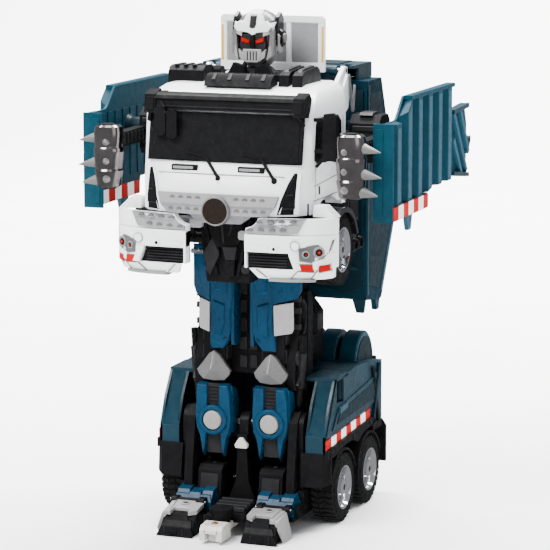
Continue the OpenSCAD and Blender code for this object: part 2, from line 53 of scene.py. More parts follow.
def material(name, color, rough, metal=0.0, coat=0.0, spot=0.25, scale=60.0, bump=0.02, spec=0.5,
        dust=0.25):
    """A moulded or painted surface: uneven colour, uneven gloss, fine grain and a little dust."""
    mat = bpy.data.materials.new(name)
    mat.use_nodes = True
    nodes, links = mat.node_tree.nodes, mat.node_tree.links
    shader = nodes["Principled BSDF"]
    shader.inputs["Metallic"].default_value = metal
    shader.inputs["Coat Weight"].default_value = coat
    shader.inputs["Coat Roughness"].default_value = 0.08
    shader.inputs["Specular IOR Level"].default_value = spec
    place = nodes.new("ShaderNodeTexCoord")

    def noise(size, detail):
        node = nodes.new("ShaderNodeTexNoise")
        node.inputs["Scale"].default_value = size
        node.inputs["Detail"].default_value = detail
        links.new(place.outputs["Object"], node.inputs["Vector"])
        return node

    def span(source, low, high):
        node = nodes.new("ShaderNodeMapRange")
        node.inputs["From Min"].default_value = 0.3
        node.inputs["From Max"].default_value = 0.7
        node.inputs["To Min"].default_value = low
        node.inputs["To Max"].default_value = high
        links.new(source, node.inputs["Value"])
        return node.outputs["Result"]

    broad = noise(scale, 4)
    fine = noise(scale * 22, 3)
    tint = nodes.new("ShaderNodeMix")
    tint.data_type = "RGBA"
    tint.inputs["A"].default_value = (*[c * (1 - spot) for c in color], 1)
    tint.inputs["B"].default_value = (*[min(1, c * (1 + spot * 0.6)) for c in color], 1)
    links.new(span(broad.outputs["Fac"], 0, 1), tint.inputs["Factor"])
    film = nodes.new("ShaderNodeMix")
    film.data_type = "RGBA"
    film.inputs["B"].default_value = (*[c * 1.5 + 0.006 for c in color], 1)
    links.new(tint.outputs["Result"], film.inputs["A"])
    links.new(span(noise(scale * 5, 6).outputs["Fac"], 0, dust), film.inputs["Factor"])
    links.new(film.outputs["Result"], shader.inputs["Base Color"])
    links.new(span(noise(scale * 3, 5).outputs["Fac"], rough * 0.8, min(1, rough * 1.25)),
        shader.inputs["Roughness"])
    relief = nodes.new("ShaderNodeBump")
    relief.inputs["Strength"].default_value = bump
    relief.inputs["Distance"].default_value = 0.0004
    links.new(fine.outputs["Fac"], relief.inputs["Height"])
    links.new(relief.outputs["Normal"], shader.inputs["Normal"])
    return mat


WHITE = material("white_plastic", (0.84, 0.85, 0.86), 0.32, coat=0.15, spot=0.02, dust=0.0, spec=0.3)
# painted shade: a dark grey standing in for the shade in grooves, gaps, rings and recesses on the white
# plastic
SHADE = material("white_recess_painted_shade", (0.16, 0.165, 0.17), 0.5, spot=0.05)
GREY = material("grille_grey", (0.20, 0.20, 0.205), 0.42, spot=0.06, spec=0.3)
DARK_GREY = material("dark_grey_plastic", (0.014, 0.014, 0.015), 0.45, spot=0.25, spec=0.12)
BLACK = material("black_plastic", (0.0055, 0.0055, 0.006), 0.45, spot=0.3, bump=0.06, spec=0.05)
GLOSS = material("black_gloss", (0.0045, 0.0045, 0.005), 0.2, coat=0.03, spot=0.2, spec=0.15)
GLASS = material("tinted_window", (0.0055, 0.0055, 0.006), 0.25, coat=0.02, spot=0.15, spec=0.08)
TEAL = material("teal_plastic", (0.0035, 0.024, 0.038), 0.34, coat=0.03, spot=0.12, spec=0.2)
PANEL = material("teal_panel", (0.0045, 0.036, 0.056), 0.4, spot=0.12, spec=0.07)
# painted highlight: a lighter copy of the panel teal for rib crests and edges that catch the light
PANEL_HIGHLIGHT = material("teal_panel_painted_highlight", (0.016, 0.062, 0.095), 0.36, coat=0.02, spot=0.1, spec=0.15)
# painted highlight: a lighter copy of the teal for faces and edges that catch the light
TEAL_HIGHLIGHT = material("teal_painted_highlight", (0.022, 0.055, 0.080), 0.38, coat=0.02, spot=0.1, spec=0.15)
TEAL_DARK = material("teal_shade", (0.0016, 0.013, 0.021), 0.4, coat=0.02, spot=0.15, spec=0.12)
WALL = material("teal_wall", (0.0030, 0.020, 0.032), 0.55, spot=0.12, spec=0.04)
BLUE = material("blue_armour", (0.0030, 0.030, 0.066), 0.30, coat=0.01, spot=0.15, spec=0.10)
SILVER = material("silver_paint", (0.20, 0.195, 0.195), 0.34, metal=0.55, spot=0.1)
DISC = material("shin_disc", (0.30, 0.285, 0.27), 0.4, metal=0.3, spot=0.12)
SHADE_LIGHT = material("light_grey_plate", (0.30, 0.285, 0.29), 0.4, spot=0.06, spec=0.3)
FOOT_TOP = material("toe_plate_silver", (0.36, 0.355, 0.35), 0.36, metal=0.4, spot=0.1)
MATT = material("matt_black_plastic", (0.0065, 0.0065, 0.007), 0.6, spot=0.25, bump=0.06, spec=0.03)
PANEL_GREY = material("light_grille_grey", (0.215, 0.215, 0.22), 0.45, spot=0.06, spec=0.12)
# painted shade: a darker grey standing in for the shade inside the grille dimples
DIMPLE_SHADE = material("dimple_painted_shade", (0.095, 0.095, 0.10), 0.5, spot=0.06, spec=0.1)
PALE = material("pale_plastic", (0.52, 0.51, 0.48), 0.45, spot=0.08)
CHROME = material("chrome_rim", (0.62, 0.63, 0.64), 0.12, metal=1.0, spot=0.04, bump=0.01)
# painted shade and painted reflection: chrome darkened and tinted pink for the shaded gauntlets and their
# reddish reflections
CHROME_SHADED = material("chrome_painted_shade_and_reflection", (0.20, 0.18, 0.18), 0.16, metal=1.0, spot=0.35, bump=0.01)
STEEL = material("steel_rod", (0.30, 0.31, 0.33), 0.25, metal=1.0, spot=0.08)
BRASS = material("brass_screw", (0.45, 0.26, 0.07), 0.3, metal=1.0, spot=0.1)
RUBBER = material("tyre_rubber", (0.0060, 0.0060, 0.0060), 0.62, spot=0.3, bump=0.2, spec=0.1, dust=0.5)
BADGE = material("badge_disc", (0.012, 0.0075, 0.0055), 0.42, spot=0.25, spec=0.12)
RED = material("red_marking", (0.36, 0.0006, 0.0004), 0.5, spot=0.05, dust=0.0, spec=0.03)
STRIPE = material("white_marking", (0.86, 0.86, 0.85), 0.36, coat=0.1, spot=0.02, dust=0.0)
LAMP = material("lamp_lens", (0.13, 0.133, 0.135), 0.2, metal=0.4, coat=0.3, spot=0.12)
RED_LENS = material("red_lens", (0.34, 0.0006, 0.0004), 0.35, coat=0.01, spot=0.12, dust=0.0, spec=0.05)
YELLOW = material("yellow_strip", (0.75, 0.40, 0.02), 0.35, coat=0.1, spot=0.06, dust=0.0)
WRAP = material("battery_wrap", (0.50, 0.12, 0.01), 0.30, coat=0.3, spot=0.1)
BOARD = material("circuit_board", (0.006, 0.08, 0.025), 0.40, coat=0.2, spot=0.2)


# ---------------------------------------------------------------- mesh tools

def circle(r, n):
    return [(r * math.cos(2 * math.pi * i / n), r * math.sin(2 * math.pi * i / n)) for i in range(n)]


def arc(cx, cy, r, a0, a1, n):
    """Points on an arc from angle a0 to a1, in degrees."""
    return [(cx + r * math.cos(math.radians(a0 + (a1 - a0) * i / n)), cy
        + r * math.sin(math.radians(a0 + (a1 - a0) * i / n))) for i in range(n + 1)]


def facing(y, pts):
    """Points of [across, height] at one depth."""
    return [(x, y, z) for x, z in pts]


def lying(z, pts):
    """Points of [across, depth] at one height."""
    return [(x, y, z) for x, y in pts]


class Shape:
    """Collects closed solids into one mesh. side -1 mirrors everything to the robot's right."""

    def __init__(self, side=1):
        self.bm = bmesh.new()
        self.side = side
        self.materials = []

    def both(self):
        """What is added in a loop over this is added twice: mirrored, and as it stands."""
        for self.side in (-1, 1):
            yield

    def loft(self, rings, mat, hoop=False):
        """A closed solid through rings of points that all have the same count; a hoop joins last to first."""
        if mat not in self.materials:
            self.materials.append(mat)
        index = self.materials.index(mat)
        made = [[self.bm.verts.new((p[0] * self.side * MM, p[1] * MM, p[2] * MM)) for p in ring]
            for ring in rings]
        faces = []
        for a, b in zip(made, made[1:] + (made[:1] if hoop else [])):
            for i in range(len(a)):
                j = (i + 1) % len(a)
                faces.append(self.bm.faces.new((a[i], a[j], b[j], b[i])))
        if not hoop:
            faces.append(self.bm.faces.new(made[0][::-1]))
            faces.append(self.bm.faces.new(made[-1]))
        bmesh.ops.recalc_face_normals(self.bm, faces=faces)
        for f in faces:
            f.material_index = index

    def box(self, low, high, mat):
        (x0, y0, z0), (x1, y1, z1) = low, high
        self.loft([[(x0, y0, z), (x1, y0, z), (x1, y1, z), (x0, y1, z)] for z in (z0, z1)], mat)

    def across(self, x0, x1, pts, mat):
        """An outline of [depth, height] between two places across the robot."""
        self.loft([[(x, y, z) for y, z in pts] for x in (x0, x1)], mat)

    def deep(self, y0, y1, pts, mat):
        """An outline of [across, height] between two depths."""
        self.loft([facing(y, pts) for y in (y0, y1)], mat)

    def plan(self, z0, z1, pts, mat):
        """An outline of [across, depth] between two heights."""
        self.loft([lying(z, pts) for z in (z0, z1)], mat)

    def tube(self, a, b, r, mat, n=24):
        """A straight rod from point a to point b."""
        self.turned(a, b, [(r, 0), (r, 1)], mat, n)

    def turned(self, a, b, profile, mat, n=32):
        """A turned solid on the axis from a to b: profile holds (radius, share of the way).

        A profile of four or more points that ends at the level it began is a hoop.
        """
        a, b = Vector(a), Vector(b)
        way = b - a
        u = way.orthogonal().normalized()
        v = way.normalized().cross(u)
        rings = []
        for r, t in profile:
            mid = a + way * t
            rings.append([tuple(mid + u * c + v * s) for c, s in circle(max(r, 0.01), n)])
        self.loft(rings, mat, len(profile) > 3 and profile[0][1] == profile[-1][1])

    def strip(self, a, b, width, height, mat, up=(0, -1, 0)):
        """A thin bar from a to b, width across it and height along up."""
        a, b, up = Vector(a), Vector(b), Vector(up).normalized()
        flat = (b - a).cross(up).normalized() * width / 2
        corners = lambda p: [tuple(p - flat), tuple(p + flat), tuple(p + flat + up * height),
            tuple(p - flat + up * height)]
        self.loft([corners(a), corners(b)], mat)

    def screw(self, at, face, r=1.8, mat=None):
        """A pan-head screw with a dark recess, standing on a face."""
        at, face = Vector(at), Vector(face).normalized()
        self.turned(at, at + face * 1.0, [(r, 0), (r, 0.5), (r * 0.7, 1)], mat or STEEL, 16)
        self.tube(at + face * 0.7, at + face * 1.05, r * 0.35, BLACK, 6)


def piece(shape, name, body, slot, replaces=(), bevel=0.5, segments=2, angle=32):
    """Turns a Shape into an object that rides on a body."""
    obj = solid(shape, name)
    soften(obj, bevel, segments, angle)
    settle(obj, body, slot, replaces)


def soften(obj, bevel, segments=2, angle=32):
    """Rounds the edges by a bevel in millimetres; without one, edges sharper than the angle stay sharp."""
    if bevel:
        mod = obj.modifiers.new("edges", "BEVEL")
        mod.width = bevel * MM
        mod.segments = segments
        mod.limit_method = "ANGLE"
        mod.angle_limit = math.radians(angle)
        mod.harden_normals = True
    else:
        obj.data.set_sharp_from_angle(angle=math.radians(angle))


def settle(obj, body, slot, replaces=()):
    """Puts an object on its body and hides the CAD nodes it stands in for; the colour slot is not used."""
    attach(obj, body)
    if replaces:
        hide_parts(*replaces)


def solid(shape, name):
    """A bare object made from a Shape, used as a cutter or as the start of a cut."""
    mesh = bpy.data.meshes.new(name)
    shape.bm.to_mesh(mesh)
    shape.bm.free()
    for mat in shape.materials:
        mesh.materials.append(mat)
    mesh.polygons.foreach_set("use_smooth", [True] * len(mesh.polygons))
    obj = bpy.data.objects.new(name, mesh)
    bpy.context.scene.collection.objects.link(obj)
    return obj


def cut(obj, cutter):
    """Takes the cutter's solids out of obj for good."""
    mod = obj.modifiers.new("cut", "BOOLEAN")
    mod.operation = "DIFFERENCE"
    mod.solver = "EXACT"
    mod.use_self = True
    mod.object = cutter
    graph = bpy.context.evaluated_depsgraph_get()
    mesh = bpy.data.meshes.new_from_object(obj.evaluated_get(graph))
    obj.modifiers.clear()
    obj.data = mesh
    bpy.data.objects.remove(cutter)
    return obj


def paint(mat, slot, *names):
    """Gives CAD nodes that keep their own shape a finished material."""
    for name in names:
        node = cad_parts[name]
        node.data.materials.clear()
        node.data.materials.append(mat)
        soften(node, 0.35, 2, 40)


HALF_TURN = [math.pi * k / 8 for k in range(9)]
SIDES = (("left", 1), ("right", -1))

# Where the hinges lie, as depth and height
LEG_PIN = (-62, 87)
TOE_PIN = (-103, 23)
SHOULDER = (-14, 333)
ELBOW = (-100, 330)
FRONT_AXLE = (-70, 243)


# ---------------------------------------------------------------- wheels

TYRE_R, TYRE_W, RIM_R = 30.0, 22.0, 19.0


def tyre_mesh():
    """A tyre whose axle lies across, from x 0 (inner face) to TYRE_W, centred on the axle."""
    s = Shape()
    side_wall = [(RIM_R - 0.4, 0.5), (RIM_R + 1.5, 0), (25.0, 0.2), (28.3, 1.6), (28.9, 3.2)]
    profile = side_wall + [(28.9, TYRE_W - 3.2), (28.3, TYRE_W - 1.6), (25.0, TYRE_W - 0.2),
        (RIM_R + 1.5, TYRE_W), (RIM_R - 0.4, TYRE_W - 0.5)]
    n = 72
    rings = []
    for i in range(n):
        a = 2 * math.pi * i / n
        rings.append([(w, r * math.cos(a), r * math.sin(a)) for r, w in profile])
    bm, count = s.bm, len(profile)
    s.materials.append(RUBBER)
    verts = [[bm.verts.new(Vector(p) * MM) for p in ring] for ring in rings]
    for i in range(n):
        a, b = verts[i], verts[(i + 1) % n]
        for k in range(count):
            j = (k + 1) % count
            bm.faces.new((a[k], a[j], b[j], b[k]))
    bmesh.ops.recalc_face_normals(bm, faces=bm.faces)
    lugs = 34
    for i in range(lugs):
        for w0, w1, lean in ((1.2, 7.6, 3.0), (8.2, 13.8, -3.0), (14.4, 20.8, 3.0)):
            a0 = 2 * math.pi * i / lugs
            half = math.radians(3.6)
            ring = lambda r: [(w, r * math.cos(a), r * math.sin(a))
                for w, a in ((w0, a0 - half - math.radians(lean) / 2),
                (w1, a0 - half + math.radians(lean) / 2), (w1, a0 + half + math.radians(lean) / 2),
                (w0, a0 + half - math.radians(lean) / 2))]
            s.loft([ring(28.4), ring(TYRE_R - 0.03)], RUBBER)
    for r in (21.5, 26.0):
        for w in (0.05, TYRE_W - 0.05):
            out = -0.35 if w < 1 else 0.35
            s.turned((w, 0, 0), (w + out, 0, 0), [(r, 0), (r, 1), (r - 0.8, 1), (r - 0.8, 0)], RUBBER, 48)
    return solid(s, "tyre_shape")


def rim_mesh():
    """A plated rim with a dished face, a ring of holes, wheel nuts and a hub, outer face at TYRE_W."""
    s = Shape()
    s.turned((0, 0, 0), (TYRE_W, 0, 0), [(RIM_R, 0), (RIM_R, 1), (RIM_R - 1.2, 1), (RIM_R - 2.2, 0.93),
        (RIM_R - 3.4, 0.80), (RIM_R - 4.0, 0.66), (13.0, 0.64), (9.5, 0.74), (7.6, 0.76),
        (6.8, 0.95), (5.6, 0.99), (2.7, 0.99), (2.7, 0.30), (9, 0.30), (12, 0.45), (RIM_R - 5.5, 0.45),
        (RIM_R - 2.4, 0.2), (RIM_R - 2.4, 0)], CHROME, 64)
    rim = solid(s, "rim_shape")
    holes = Shape()
    for i in range(10):
        a = 2 * math.pi * i / 10
        y, z = 11.8 * math.cos(a), 11.8 * math.sin(a)
        holes.tube((TYRE_W * 0.4, y, z), (TYRE_W + 2, y, z), 1.9, CHROME, 20)
    rim = cut(rim, solid(holes, "rim_holes"))
    nuts = Shape()
    for i in range(10):
        a = 2 * math.pi * (i + 0.5) / 10
        y, z = 7.9 * math.cos(a), 7.9 * math.sin(a)
        nuts.tube((TYRE_W * 0.7, y, z), (TYRE_W * 0.83, y, z), 0.8, CHROME, 6)
    nuts.turned((TYRE_W * 0.97, 0, 0), (TYRE_W * 1.0, 0, 0), [(2.4, 0), (2.0, 1)], DARK_GREY, 24)
    nuts.turned((TYRE_W * 0.30, 0, 0), (TYRE_W * 0.36, 0, 0), [(RIM_R - 2.6, 0), (RIM_R - 2.6, 1)], BLACK,
        48)
    return rim, solid(nuts, "rim_nuts")


def wheels():
    tyre = tyre_mesh()
    rim, nuts = rim_mesh()
    kinds = [("front_%s", "front_wheel_%s"), ("rear_a_%s", "rear_wheel_a_%s"),
        ("rear_b_%s", "rear_wheel_b_%s")]
    for node, body in kinds:
        for side, sx in SIDES:
            low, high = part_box("tyre_" + node % side)
            mid = (low + high) / 2
            turn = Matrix.Identity(4) if sx > 0 else Matrix.Rotation(math.pi, 4, "Z")
            inner = low.x if sx > 0 else high.x
            spot = Matrix.Translation((inner, mid.y, mid.z)) @ turn
            for source, word, slot in ((tyre, "tyre", "tyre"), (rim, "rim", "chrome_rim"),
                    (nuts, "nuts", "chrome_rim")):
                obj = bpy.data.objects.new("%s_%s_detail" % (word, node % side), source.data)
                bpy.context.scene.collection.objects.link(obj)
                obj.matrix_world = spot
                if word == "tyre":
                    soften(obj, 0.25, 1, 40)
                elif word == "rim":
                    soften(obj, 0.2, 2, 40)
                else:
                    obj.data.set_sharp_from_angle(angle=0.6)
                settle(obj, body % side, slot, () if word == "nuts" else ("%s_%s" % (word, node % side),))
    for source in (tyre, rim, nuts):
        bpy.data.objects.remove(source)


# ---------------------------------------------------------------- rear chassis

def hazard(s, start, end, height, first_red, count, thick=0.5, face=(1, 0, 0)):
    """Red and white blocks side by side from start to end, on a face."""
    a, b = Vector(start), Vector(end)
    for i in range(count):
        p, q = a.lerp(b, i / count), a.lerp(b, (i + 1) / count)
        mat = RED if (i % 2 == 0) == first_red else STRIPE
        s.strip(p, q, height, thick, mat, up=face)


def rear_shell():
    side_out = [(-76.5, 68), (-76.5, 82), (-66, 106), (-51, 127.5), (-47, 127.5), (-47, 106), (-29, 104),
        (-29, 126), (4, 128.5), (26, 127), (60, 124), (78, 121), (78, 62), (60, 64), (44, 74)]
    for side, sx in SIDES:
        s = Shape(sx)
        # side wall with its slot notch, the front corner plate and the ledge
        s.across(73.5, 76, side_out, TEAL)
        s.deep(-76.5, -73.5, [(58, 67), (76, 67), (76, 82), (58, 82)], TEAL)
        s.loft([[(58, -76.5, 82), (76, -76.5, 82), (76, -73, 82), (58, -73, 82)],
            [(58, -51, 127.5), (76, -51, 127.5), (76, -47, 126), (58, -47, 126)]], WALL)
        s.box((50, -52, 124.5), (76, -16, 128), TEAL)
        s.across(58, 60.5, [(-76, 67), (-76, 82), (-66, 106), (-51, 127), (-16, 127), (-16, 67)], TEAL_DARK)
        # raised panel, step line and a bracket in the lighter teal, a painted highlight, on the side
        s.across(76, 77.2, [(-60, 84), (-44, 101), (34, 108), (58, 112), (66, 112), (66, 86), (50, 86)],
            TEAL)
        s.across(76.9, 77.7, [(-50, 88), (-42, 97), (30, 103.5), (52, 106), (56, 90), (46, 90)], TEAL_DARK)
        s.across(76, 78.6, [(-44, 96), (-24, 98), (-24, 102.5), (-44, 101)], TEAL_HIGHLIGHT)
        for y in (-40, -36, -32):
            s.box((73, y, 106.5), (75.4, y + 1.4, 125), TEAL_DARK)
        # cross brace at the rear of the side
        s.strip((76, 48, 66), (76, 66, 120), 4, 2.6, TEAL_DARK, up=(1, 0, 0))
        s.strip((76, 66, 66), (76, 48, 120), 4, 2.2, BLACK, up=(1, 0, 0))
        s.box((75.5, 44, 62), (79, 70, 68), BLACK)
        # hazard strip and the black fender band below it
        hazard(s, (76, -76.5, 74.5), (76, 42, 79), 8.2, True, 9, 0.9)
        s.across(74, 78.6, [(-76.5, 62), (-76.5, 70), (44, 75), (62, 66), (62, 61), (40, 68), (20, 66),
            (4, 61), (-10, 66), (-30, 66), (-50, 62)], BLACK)
        for y in (-66, -8, 38):
            s.screw((78.6, y, 68.5 if y != 38 else 71.5), (1, 0, 0), 1.3, DARK_GREY)
        piece(s, "shell_side_" + side, "base", "teal_plastic", ("rear_shell",), 0.6)
    s = Shape()
    # deck and tail, between the side walls
    s.across(-74, 74, [(-16, 123.5), (-16, 128.3), (4, 128.5), (26, 127), (60, 124), (78, 121), (78, 62),
        (75.5, 62), (75.5, 117), (58, 120)], TEAL)
    s.box((-58, -18, 62), (58, -16, 125), TEAL_DARK)
    for x in (-40, -20, 0, 20, 40):
        s.box((x - 1, -18.8, 64), (x + 1, -18, 122), BLACK)
    s.box((-52, 78, 66), (52, 79.4, 90), TEAL_DARK)
    s.box((29, 78, 90.5), (48, 79, 105), BLACK)
    for x in (-60, 60):
        s.turned((x, 78, 100), (x, 80.4, 100), [(6, 0), (6, 0.7), (4.6, 1)], RED_LENS, 32)
        s.turned((x, 78, 86), (x, 80.2, 86), [(4.5, 0), (4.5, 0.7), (3.4, 1)], YELLOW, 32)
    hazard(s, (-76, 78, 70.5), (-54, 78, 70.5), 6, True, 3, 0.7, (0, 1, 0))
    hazard(s, (54, 78, 70.5), (76, 78, 70.5), 6, False, 3, 0.7, (0, 1, 0))
    piece(s, "shell_deck", "base", "teal_plastic", (), 0.6)


def shell_ribs():
    """The row of round ribs over the deck: half drums with flat side faces in a paler teal, a painted
    highlight.
    """
    mid_y, rise, long, base_z = 51.5, 30.0, 26.5, 121.0
    s = Shape()
    outline = lambda k: [(mid_y + long * k * math.cos(a), max(base_z - 2, base_z + rise * k * math.sin(a)))
        for a in [math.pi * i / 24 for i in range(25)]]
    s.across(-69, 69, outline(0.84), TEAL_DARK)
    for i in range(-3, 4):
        x = 20 * i
        s.across(x - 7.0, x + 7.0, outline(1.0), PANEL)
        for f in (-1, 1):
            s.across(x + f * 6.9, x + f * 8.0, outline(0.95), TEAL_HIGHLIGHT)
    s.box((-71, 24, 120), (71, 27.5, 128), TEAL)
    s.box((-71, 75, 117), (71, 78, 124), TEAL)
    piece(s, "deck_ribs", "base", "teal_plastic", ("shell_ribs",), 0.7)


def mud_flaps():
    for side, sx in SIDES:
        s = Shape(sx)
        s.loft([[(54, -77.4, 67.5), (74, -77.4, 67.5), (79, -71, 67.5), (79, -67, 66), (74, -75, 66),
            (54, -75, 66)], [(55, -80, 38), (73, -80, 38), (79.4, -72, 40), (79.4, -69, 40), (74, -77, 38),
            (55, -77, 38)]], BLACK)
        s.deep(78.2, 81, [(56, 27), (80, 27), (80, 60), (76, 66), (56, 66)], BLACK)
        for x in (60, 66, 72):
            s.box((x, 81, 30), (x + 2.2, 81.6, 56), DARK_GREY)
        # curved guards over the two rear tyres
        for y in (-37, 33):
            rim = arc(y, 30, 34.5, 160, 20, 16) + arc(y, 30, 32.4, 20, 160, 16)
            s.across(56, 79.5, rim, BLACK)
        piece(s, "mudguards_" + side, "base", "black_plastic", ("wheel_arches",), 0.4)


def lower_chassis():
    s = Shape()
    # black front of the chassis between the legs: funnel, frame rails, tongue with ribs
    s.turned((0, -124, 7), (0, -124, 26), [(7, 0), (7.4, 0.45), (10, 0.8), (10.5, 1)], BLACK, 32)
    s.box((-18, -118, 12), (18, -80, 17), BLACK)
    s.across(-16, 16, [(-112, 17), (-104, 21), (-84, 23), (-80, 17)], BLACK)
    for y in (-109, -102, -95, -88):
        s.across(-14.5, 14.5, [(y, 19), (y + 0.8, 22.4 + (y + 109) * 0.1),
            (y + 3.2, 22.8 + (y + 109) * 0.1), (y + 4, 19)], DARK_GREY)
    s.deep(-76, -70.5,
        [(-15, 15), (15, 15), (6, 38), (4.5, 64), (4.5, 78), (-4.5, 78), (-4.5, 64), (-6, 38)], BLACK)
    s.loft([[(-5.4, y, 67), (5.4, y, 67), (5.8, y, 70), (3.4, y, 73.6), (1.6, y, 76.2), (-1.6, y, 76.2),
        (-3.4, y, 73.6), (-5.8, y, 70)] for y in (-78.6, -74)], PALE)
    piece(s, "front_tongue", "base", "black_plastic", (), 0.5)
    for side, sx in SIDES:
        s = Shape(sx)
        # folding gearbox cheeks, pivots and rod ends beside the legs
        s.across(43, 50.5, [(-84, 16), (-84, 40), (-76, 92), (-68, 100), (-56, 100), (-48, 88), (-48, 16)],
            BLACK)
        s.turned((50.5, *LEG_PIN), (53, *LEG_PIN), [(10, 0), (10, 0.6), (8, 1)], DARK_GREY, 40)
        s.screw((53, *LEG_PIN), (1, 0, 0), 3.0)
        s.tube((47, -80, 30), (47, -74, 62), 3.2, DARK_GREY, 16)
        s.box((52, -78, 16), (57, -50, 34), BLACK)
        piece(s, "pivot_cheek_" + side, "base", "black_plastic", (), 0.5)
        b = Shape(sx)
        b.across(17.2, 38.8,
            [(-82, 15), (-82, 30), (-79.5, 46.6), (-75, 50), (-62, 50), (-53, 46.6), (-53, 15)], BLACK)
        b.across(20, 36, [(-83.2, 17), (-83.2, 29), (-81, 43), (-78, 43), (-78, 17)], DARK_GREY)
        b.deep(-84.2, -82, [(22, 19), (34, 19), (32, 27), (24, 27)], BLACK)
        b.screw((28, -68, 50), (0, 0, 1), 2.0, DARK_GREY)
        piece(b, "ankle_block_" + side, "base", "black_plastic", (), 0.8)


def feet():
    for side, sx in SIDES:
        s = Shape(sx)
        core = [(-130, 0.3), (-134, 8), (-128, 15), (-121, 19.4), (-108.7, 21), (-108.7, 0.3)]
        s.across(22.5, 51.5, core, MATT)
        s.loft([[(21.5, -137.4, 0.3), (55, -137.4, 0.3), (50, -128, 0.3), (24, -128, 0.3)],
            [(23.5, -136.6, 8.6), (50.5, -136.6, 8.6), (49, -128, 8.6), (24, -128, 8.6)]], MATT)
        s.loft([[(23, -135.4, 8.4), (51, -135.4, 8.4), (49.5, -126, 8.4), (24, -126, 8.4)],
            [(24.5, -131.8, 13.2), (48, -131.8, 13.2), (47.5, -126, 14.5), (25, -126, 14.5)]], BLACK)
        s.loft([[(27, -132.6, 12), (46, -132.6, 12), (46, -122, 12), (27, -122, 12)],
            [(30, -128.4, 17.4), (43.6, -128.4, 17.4), (45, -122, 19.0), (28.6, -122, 19.0)]], MATT)
        for x in (30.5, 47):
            s.strip((x, -137.6, 1), (x + 0.5, -136.7, 7.6), 0.8, 0.7, DARK_GREY)
        s.box((36, -138, 2), (42, -137, 5.6), BLACK)
        s.across(30, 48,
            [(-109, 14), (-109, 21.5), (-103, 26.2), (-100.5, 24.5), (-100.5, 21), (-103, 19.8)], BLACK)
        piece(s, "toe_" + side + "_wedge", "foot_" + side, "dark_gloss_plastic", ("toe_" + side,), 0.7, 3)
        plate = Shape(sx)
        top = lambda y: 20.4 + (y + 121) * 0.16
        outline = [(22.5, -124), (29, -128.6), (30, -121.5), (44, -121.5), (45, -129), (49.5, -129),
            (51.5, -108.5), (47.6, -107.6), (47.4, -104.8), (31, -104.8), (30.8, -107.6), (22.4, -108)]
        plate.loft([[(x, y, top(y) - 2.2) for x, y in outline], [(x, y, top(y) + 1.4) for x, y in outline]],
            FOOT_TOP)
        # outer side plate, folded down from the top
        plate.loft([[(49.2, y, z) for y, z in ((-128.8, 19.6), (-107.4, 23.2), (-107.4, 20), (-128, 16))],
            [(52.4, y, z) for y, z in ((-128.6, 18.8), (-107.4, 22.4), (-107.4, 14), (-129, 10))],
            [(56.6, y, z) for y, z in ((-130.6, 5.4), (-108, 6.4), (-108, 0.3), (-127.5, 0.3))]], FOOT_TOP)
        plate.turned((38, -111, top(-111) + 1.2), (38, -111, top(-111) + 1.9),
            [(4.4, 0), (4.4, 0.8), (3.8, 1)], FOOT_TOP)
        plate.turned((38, -111, top(-111) + 1.4), (38, -111, top(-111) + 2.0), [(2.6, 0), (2.6, 1)], BLACK)
        # dark line where the side plate folds down: painted shade
        plate.strip((45.8, -127, 21.0), (47.6, -106, 24.4), 0.6, 0.5, SHADE, up=(0, -0.16, 1))
        piece(plate, "toe_" + side + "_plate", "foot_" + side, "silver_plastic", (), 0.5)
        ankle = Shape(sx)
        ankle.loft([[(19, -98.5, 15), (55, -98.5, 15), (55, -79, 15), (19, -79, 15)],
            [(20, -98.5, 22), (54, -98.5, 22), (55, -79, 25), (19, -79, 25)],
            [(22, -95, 27.4), (53, -95, 27.4), (53, -80, 29.5), (20, -80, 29.5)]], BLUE)
        ankle.across(39, 50, [(-80, 15), (-80, 29.5), (-58, 28), (-54, 22), (-54, 15)], BLUE)
        ankle.across(20.5, 30, [(-96, 24), (-91, 30.5), (-80, 33), (-79, 28)], BLUE)
        ankle.across(42, 53, [(-96, 24), (-91, 30.5), (-80, 33), (-79, 28)], BLUE)
        ankle.across(31, 41, [(-97.6, 24), (-94, 29), (-84, 30.6), (-79, 28)], BLUE)
        for x in (24, 48.5):
            ankle.turned((x, *TOE_PIN), (x + 5.5, *TOE_PIN), [(3.4, 0), (3.4, 1)], BLACK, 24)
            ankle.box((x, -103, 19.8), (x + 5.5, -97, 26.2), BLACK)
        ankle.tube((23, *TOE_PIN), (55, *TOE_PIN), 1.6, STEEL, 16)
        ankle.box((56, -96, 14), (58.5, -82, 24), BLACK)
        ankle.screw((39, -88, 29), (0, 0, 1), 2.0, DARK_GREY)
        piece(ankle, "ankle_" + side, "base", "blue_plastic", ("ankle_covers",), 0.8, 3)


def caster():
    s = Shape()
    for x in (-10, 5):
        s.across(x, x + 5, [(-150, 3), (-150, 12), (-147, 15.5), (-134, 16.5), (-129, 12), (-129, 2.5)],
            PALE)
    s.across(-6, 6, [(-150, 9), (-150, 12), (-147, 15.5), (-134, 16.5), (-129, 13), (-129, 2.5),
        (-131.5, 2.5), (-131.5, 12.6), (-146, 12.6)], PALE)
    s.box((-8, -130, 8), (8, -101, 14), PALE)
    s.screw((0, -140, 16.1), (0, 0, 1), 3.0, BRASS)
    piece(s, "caster_fork", "base", "pale_plastic", ("caster_mount",), 0.6, 3)
    r = Shape()
    r.turned((-4.3, -139.5, 6), (4.3, -139.5, 6), [(5.2, 0), (5.97, 0.12), (5.97, 0.88), (5.2, 1)], PALE,
        40)
    r.tube((-4.8, -139.5, 6), (4.8, -139.5, 6), 1.4, STEEL, 16)
    piece(r, "caster_wheel", "caster_roller", "pale_plastic", ("caster_roller",), 0)


# ---------------------------------------------------------------- legs

LEG_X = 26.0


